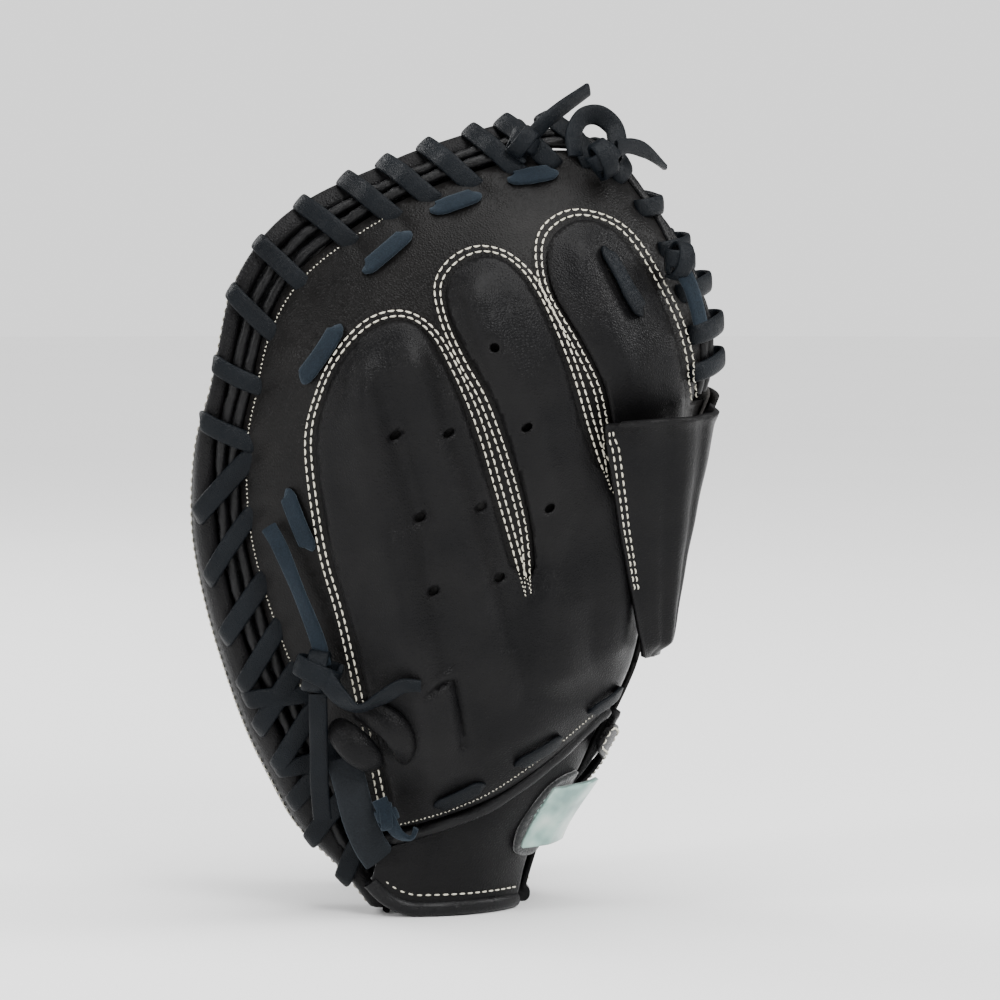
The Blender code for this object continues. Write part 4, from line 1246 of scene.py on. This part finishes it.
def badge():
    """The strap's badge: a folded, faceted satin plate on a felt backing, with no lettering."""
    middle = np.mean(BADGE, axis=0)
    felt = middle + (BADGE - middle) * 1.10
    outline = spline(np.vstack([felt[-1:], felt, felt[:2]]), 80)[16:-32]
    skin = Skin(1.0, lambda run, height: BADGE_PROUD - 2.4 + ripple(run, height, 0.3, 9.0))
    piece("badge_felt", fill(outline, skin), FELT, FINGERS, ("patch_backing",), "felt", thick=1.6)
    ridge_low = BADGE[0] * 0.45 + BADGE[1] * 0.55
    ridge_high = BADGE[2] * 0.35 + BADGE[3] * 0.65

    def facets(run, height):
        spine = line_distance(np.array([ridge_low, ridge_high]), run, height)
        cross = line_distance(np.array([BADGE[1], ridge_low * 0.4 + ridge_high * 0.6]), run, height)
        tilt = 0.42 * np.maximum(9.0 - run, 0.0)
        return BADGE_PROUD + 2.2 + tilt - 0.34 * spine - 0.9 * np.exp(-cross / 2.2)

    shape = fill(BADGE, Skin(1.0, facets), pitch=1.0)
    piece("badge_plate", shape, SATIN, FINGERS, ("strap_patch",), "patch", smooth=14.0, thick=1.6)


# ---------------------------------------------------------------- thumb back
THUMB_SEAM = ((84, 84), (85, 110), (87, 140), (88, 170), (90, 190), (86, 206), (76, 213), (64, 209),
              (56, 194), (50, 170), (46, 140), (43, 110), (41, 88))
THUMB_EDGE = np.vstack([offset_line(spline(THUMB_SEAM, 90), -2.0),
                        spline(((38, 70), (24, 59), (35, 44), (50, 36), (62, 46), (76, 62)), 40)])
THUMB_AXIS = spline(((70, 204), (68, 160), (62, 110), (56, 70)), 20)


def thumb_proud(run, height):
    ridge = 3.4 * bell(line_distance(THUMB_AXIS, run, height), 13.0)
    proud, inward = stall_skin(THUMB, looped(THUMB_EDGE), run, height, ridge)
    return proud + ripple(run, height, 0.5, 31.0) * smooth_step(inward / 10.0)


THUMB_STALL = Skin(-1.0, thumb_proud)


def thumb_back():
    shape = fill(THUMB_EDGE, THUMB_STALL, pitch=1.8)
    piece("thumb_stall_hide", shape, BLACK, THUMBS, ("thumb_stall",), "leather", thick=THIN_HIDE)
    piece("thumb_stall_stitching", joined(double_seam(THUMB_STALL, spline(THUMB_SEAM, 120))), CREAM, THUMBS)


def opening_seam():
    """Stitch row on the stall leather along the hand opening."""
    line = offset_line(spline(FINGER_OPENING, 90)[:82], 4.6)
    piece("opening_stitching", joined(STALLS.seam(line)), CREAM, FINGERS)


FINGER_TURNS = finger_wraps()
THUMB_TURNS = thumb_wraps()
for half, turns in ((FINGER, FINGER_TURNS), (THUMB, THUMB_TURNS)):
    half.holes = [tuple(half.edge_spots(place, -8.4)) for place, slant in turns]
back_shells()
stalls()
edge_pieces(FINGER, 0.62, FINGER_TURNS)
edge_pieces(THUMB, 0.80, THUMB_TURNS)
palm_leather(FINGER, 240)
palm_leather(THUMB, 180)
padding(FINGER, 100)
padding(THUMB, 80)
back_lining(FINGER, 1.4, 100.0)
back_lining(THUMB, 9.4, 98.0)
fold_pieces()
web_pieces()
back_laces()
heel_cord()
knots_and_tails()
heel_roll()
finger_pad()
wrist(FINGER, FINGER_OPENING, 1.2)
wrist(THUMB, THUMB_OPENING, 10.2)
closure()
badge()
thumb_back()
opening_seam()


# ---------------------------------------------------------------- floor, light and camera
VIEW_AZIMUTH = math.radians(112.0)
VIEW_RISE = math.radians(3.5)
VIEW_DISTANCE = 1.85
LENS = 167.0
AIM = Vector((0.012, 0.010, 0.1665))
FLOOR_RADIUS = 9.0
# Softboxes: name, place, size and power.
LAMPS = (("key_box", (1.5, 1.5, 1.5), (0.8, 0.8), 46.0), ("back_box", (-0.9, 1.9, 1.2), (0.9, 0.9), 34.0),
         ("front_box", (-0.6, -1.9, 1.3), (1.1, 1.1), 36.0), ("side_box", (1.9, -1.3, 1.0), (0.5, 1.0), 30.0))
ROOM_LIGHT = 0.22
WALL_LIGHT = 1.45
SKY_POWER = 4.6
SKY_SPREAD = math.radians(60.0)


def placed(name, data):
    thing = bpy.data.objects.new(name, data)
    bpy.context.scene.collection.objects.link(thing)
    return thing


def floor():
    mesh = bpy.data.meshes.new("studio_floor")
    sides = 96
    turns = [2.0 * math.pi * index / sides for index in range(sides)]
    rim = [(FLOOR_RADIUS * math.cos(turn), FLOOR_RADIUS * math.sin(turn), 0.0) for turn in turns]
    mesh.from_pydata(rim, [], [tuple(range(sides))])
    paper = Shader("floor_paper", (0.88, 0.88, 0.88), 0.8)
    paper.colour(paper.mix(paper.noise(3.0), (0.87, 0.87, 0.87), (0.90, 0.90, 0.90)))
    mesh.materials.append(paper.material)
    placed("studio_floor", mesh)


def room():
    """A white room that the camera sees brighter than it lights the mitt."""
    world = bpy.data.worlds.new("studio")
    world.use_nodes = True
    tree = world.node_tree
    light = tree.nodes["Background"]
    wall = tree.nodes.new("ShaderNodeBackground")
    choice = tree.nodes.new("ShaderNodeMixShader")
    rays = tree.nodes.new("ShaderNodeLightPath")
    tree.links.new(rays.outputs["Is Camera Ray"], choice.inputs[0])
    for shade, strength, socket in ((light, ROOM_LIGHT, 1), (wall, WALL_LIGHT, 2)):
        shade.inputs["Color"].default_value = (1.0, 1.0, 1.0, 1.0)
        shade.inputs["Strength"].default_value = strength
        tree.links.new(shade.outputs[0], choice.inputs[socket])
    tree.links.new(choice.outputs[0], tree.nodes["World Output"].inputs["Surface"])
    bpy.context.scene.world = world


def lamps():
    for name, place, size, power in LAMPS:
        lamp = bpy.data.lights.new(name, "AREA")
        lamp.shape = "RECTANGLE"
        lamp.size, lamp.size_y = size
        lamp.energy = power
        light = placed(name, lamp)
        light.location = place
        light.rotation_euler = (AIM - Vector(place)).to_track_quat("-Z", "Y").to_euler()
    sky = bpy.data.lights.new("sky", "SUN")
    sky.energy = SKY_POWER
    sky.angle = SKY_SPREAD
    placed("sky", sky).rotation_euler = (math.radians(-12.0), math.radians(8.0), 0.0)


def view():
    optics = bpy.data.cameras.new("camera")
    optics.lens = LENS
    optics.sensor_width = 36.0
    camera = placed("camera", optics)
    level_share = math.cos(VIEW_RISE)
    toward = Vector((math.sin(VIEW_AZIMUTH) * level_share, -math.cos(VIEW_AZIMUTH) * level_share,
                     math.sin(VIEW_RISE)))
    camera.location = AIM + toward * VIEW_DISTANCE
    camera.rotation_euler = (-toward).to_track_quat("-Z", "Y").to_euler()
    bpy.context.scene.camera = camera


floor()
room()
lamps()
view()
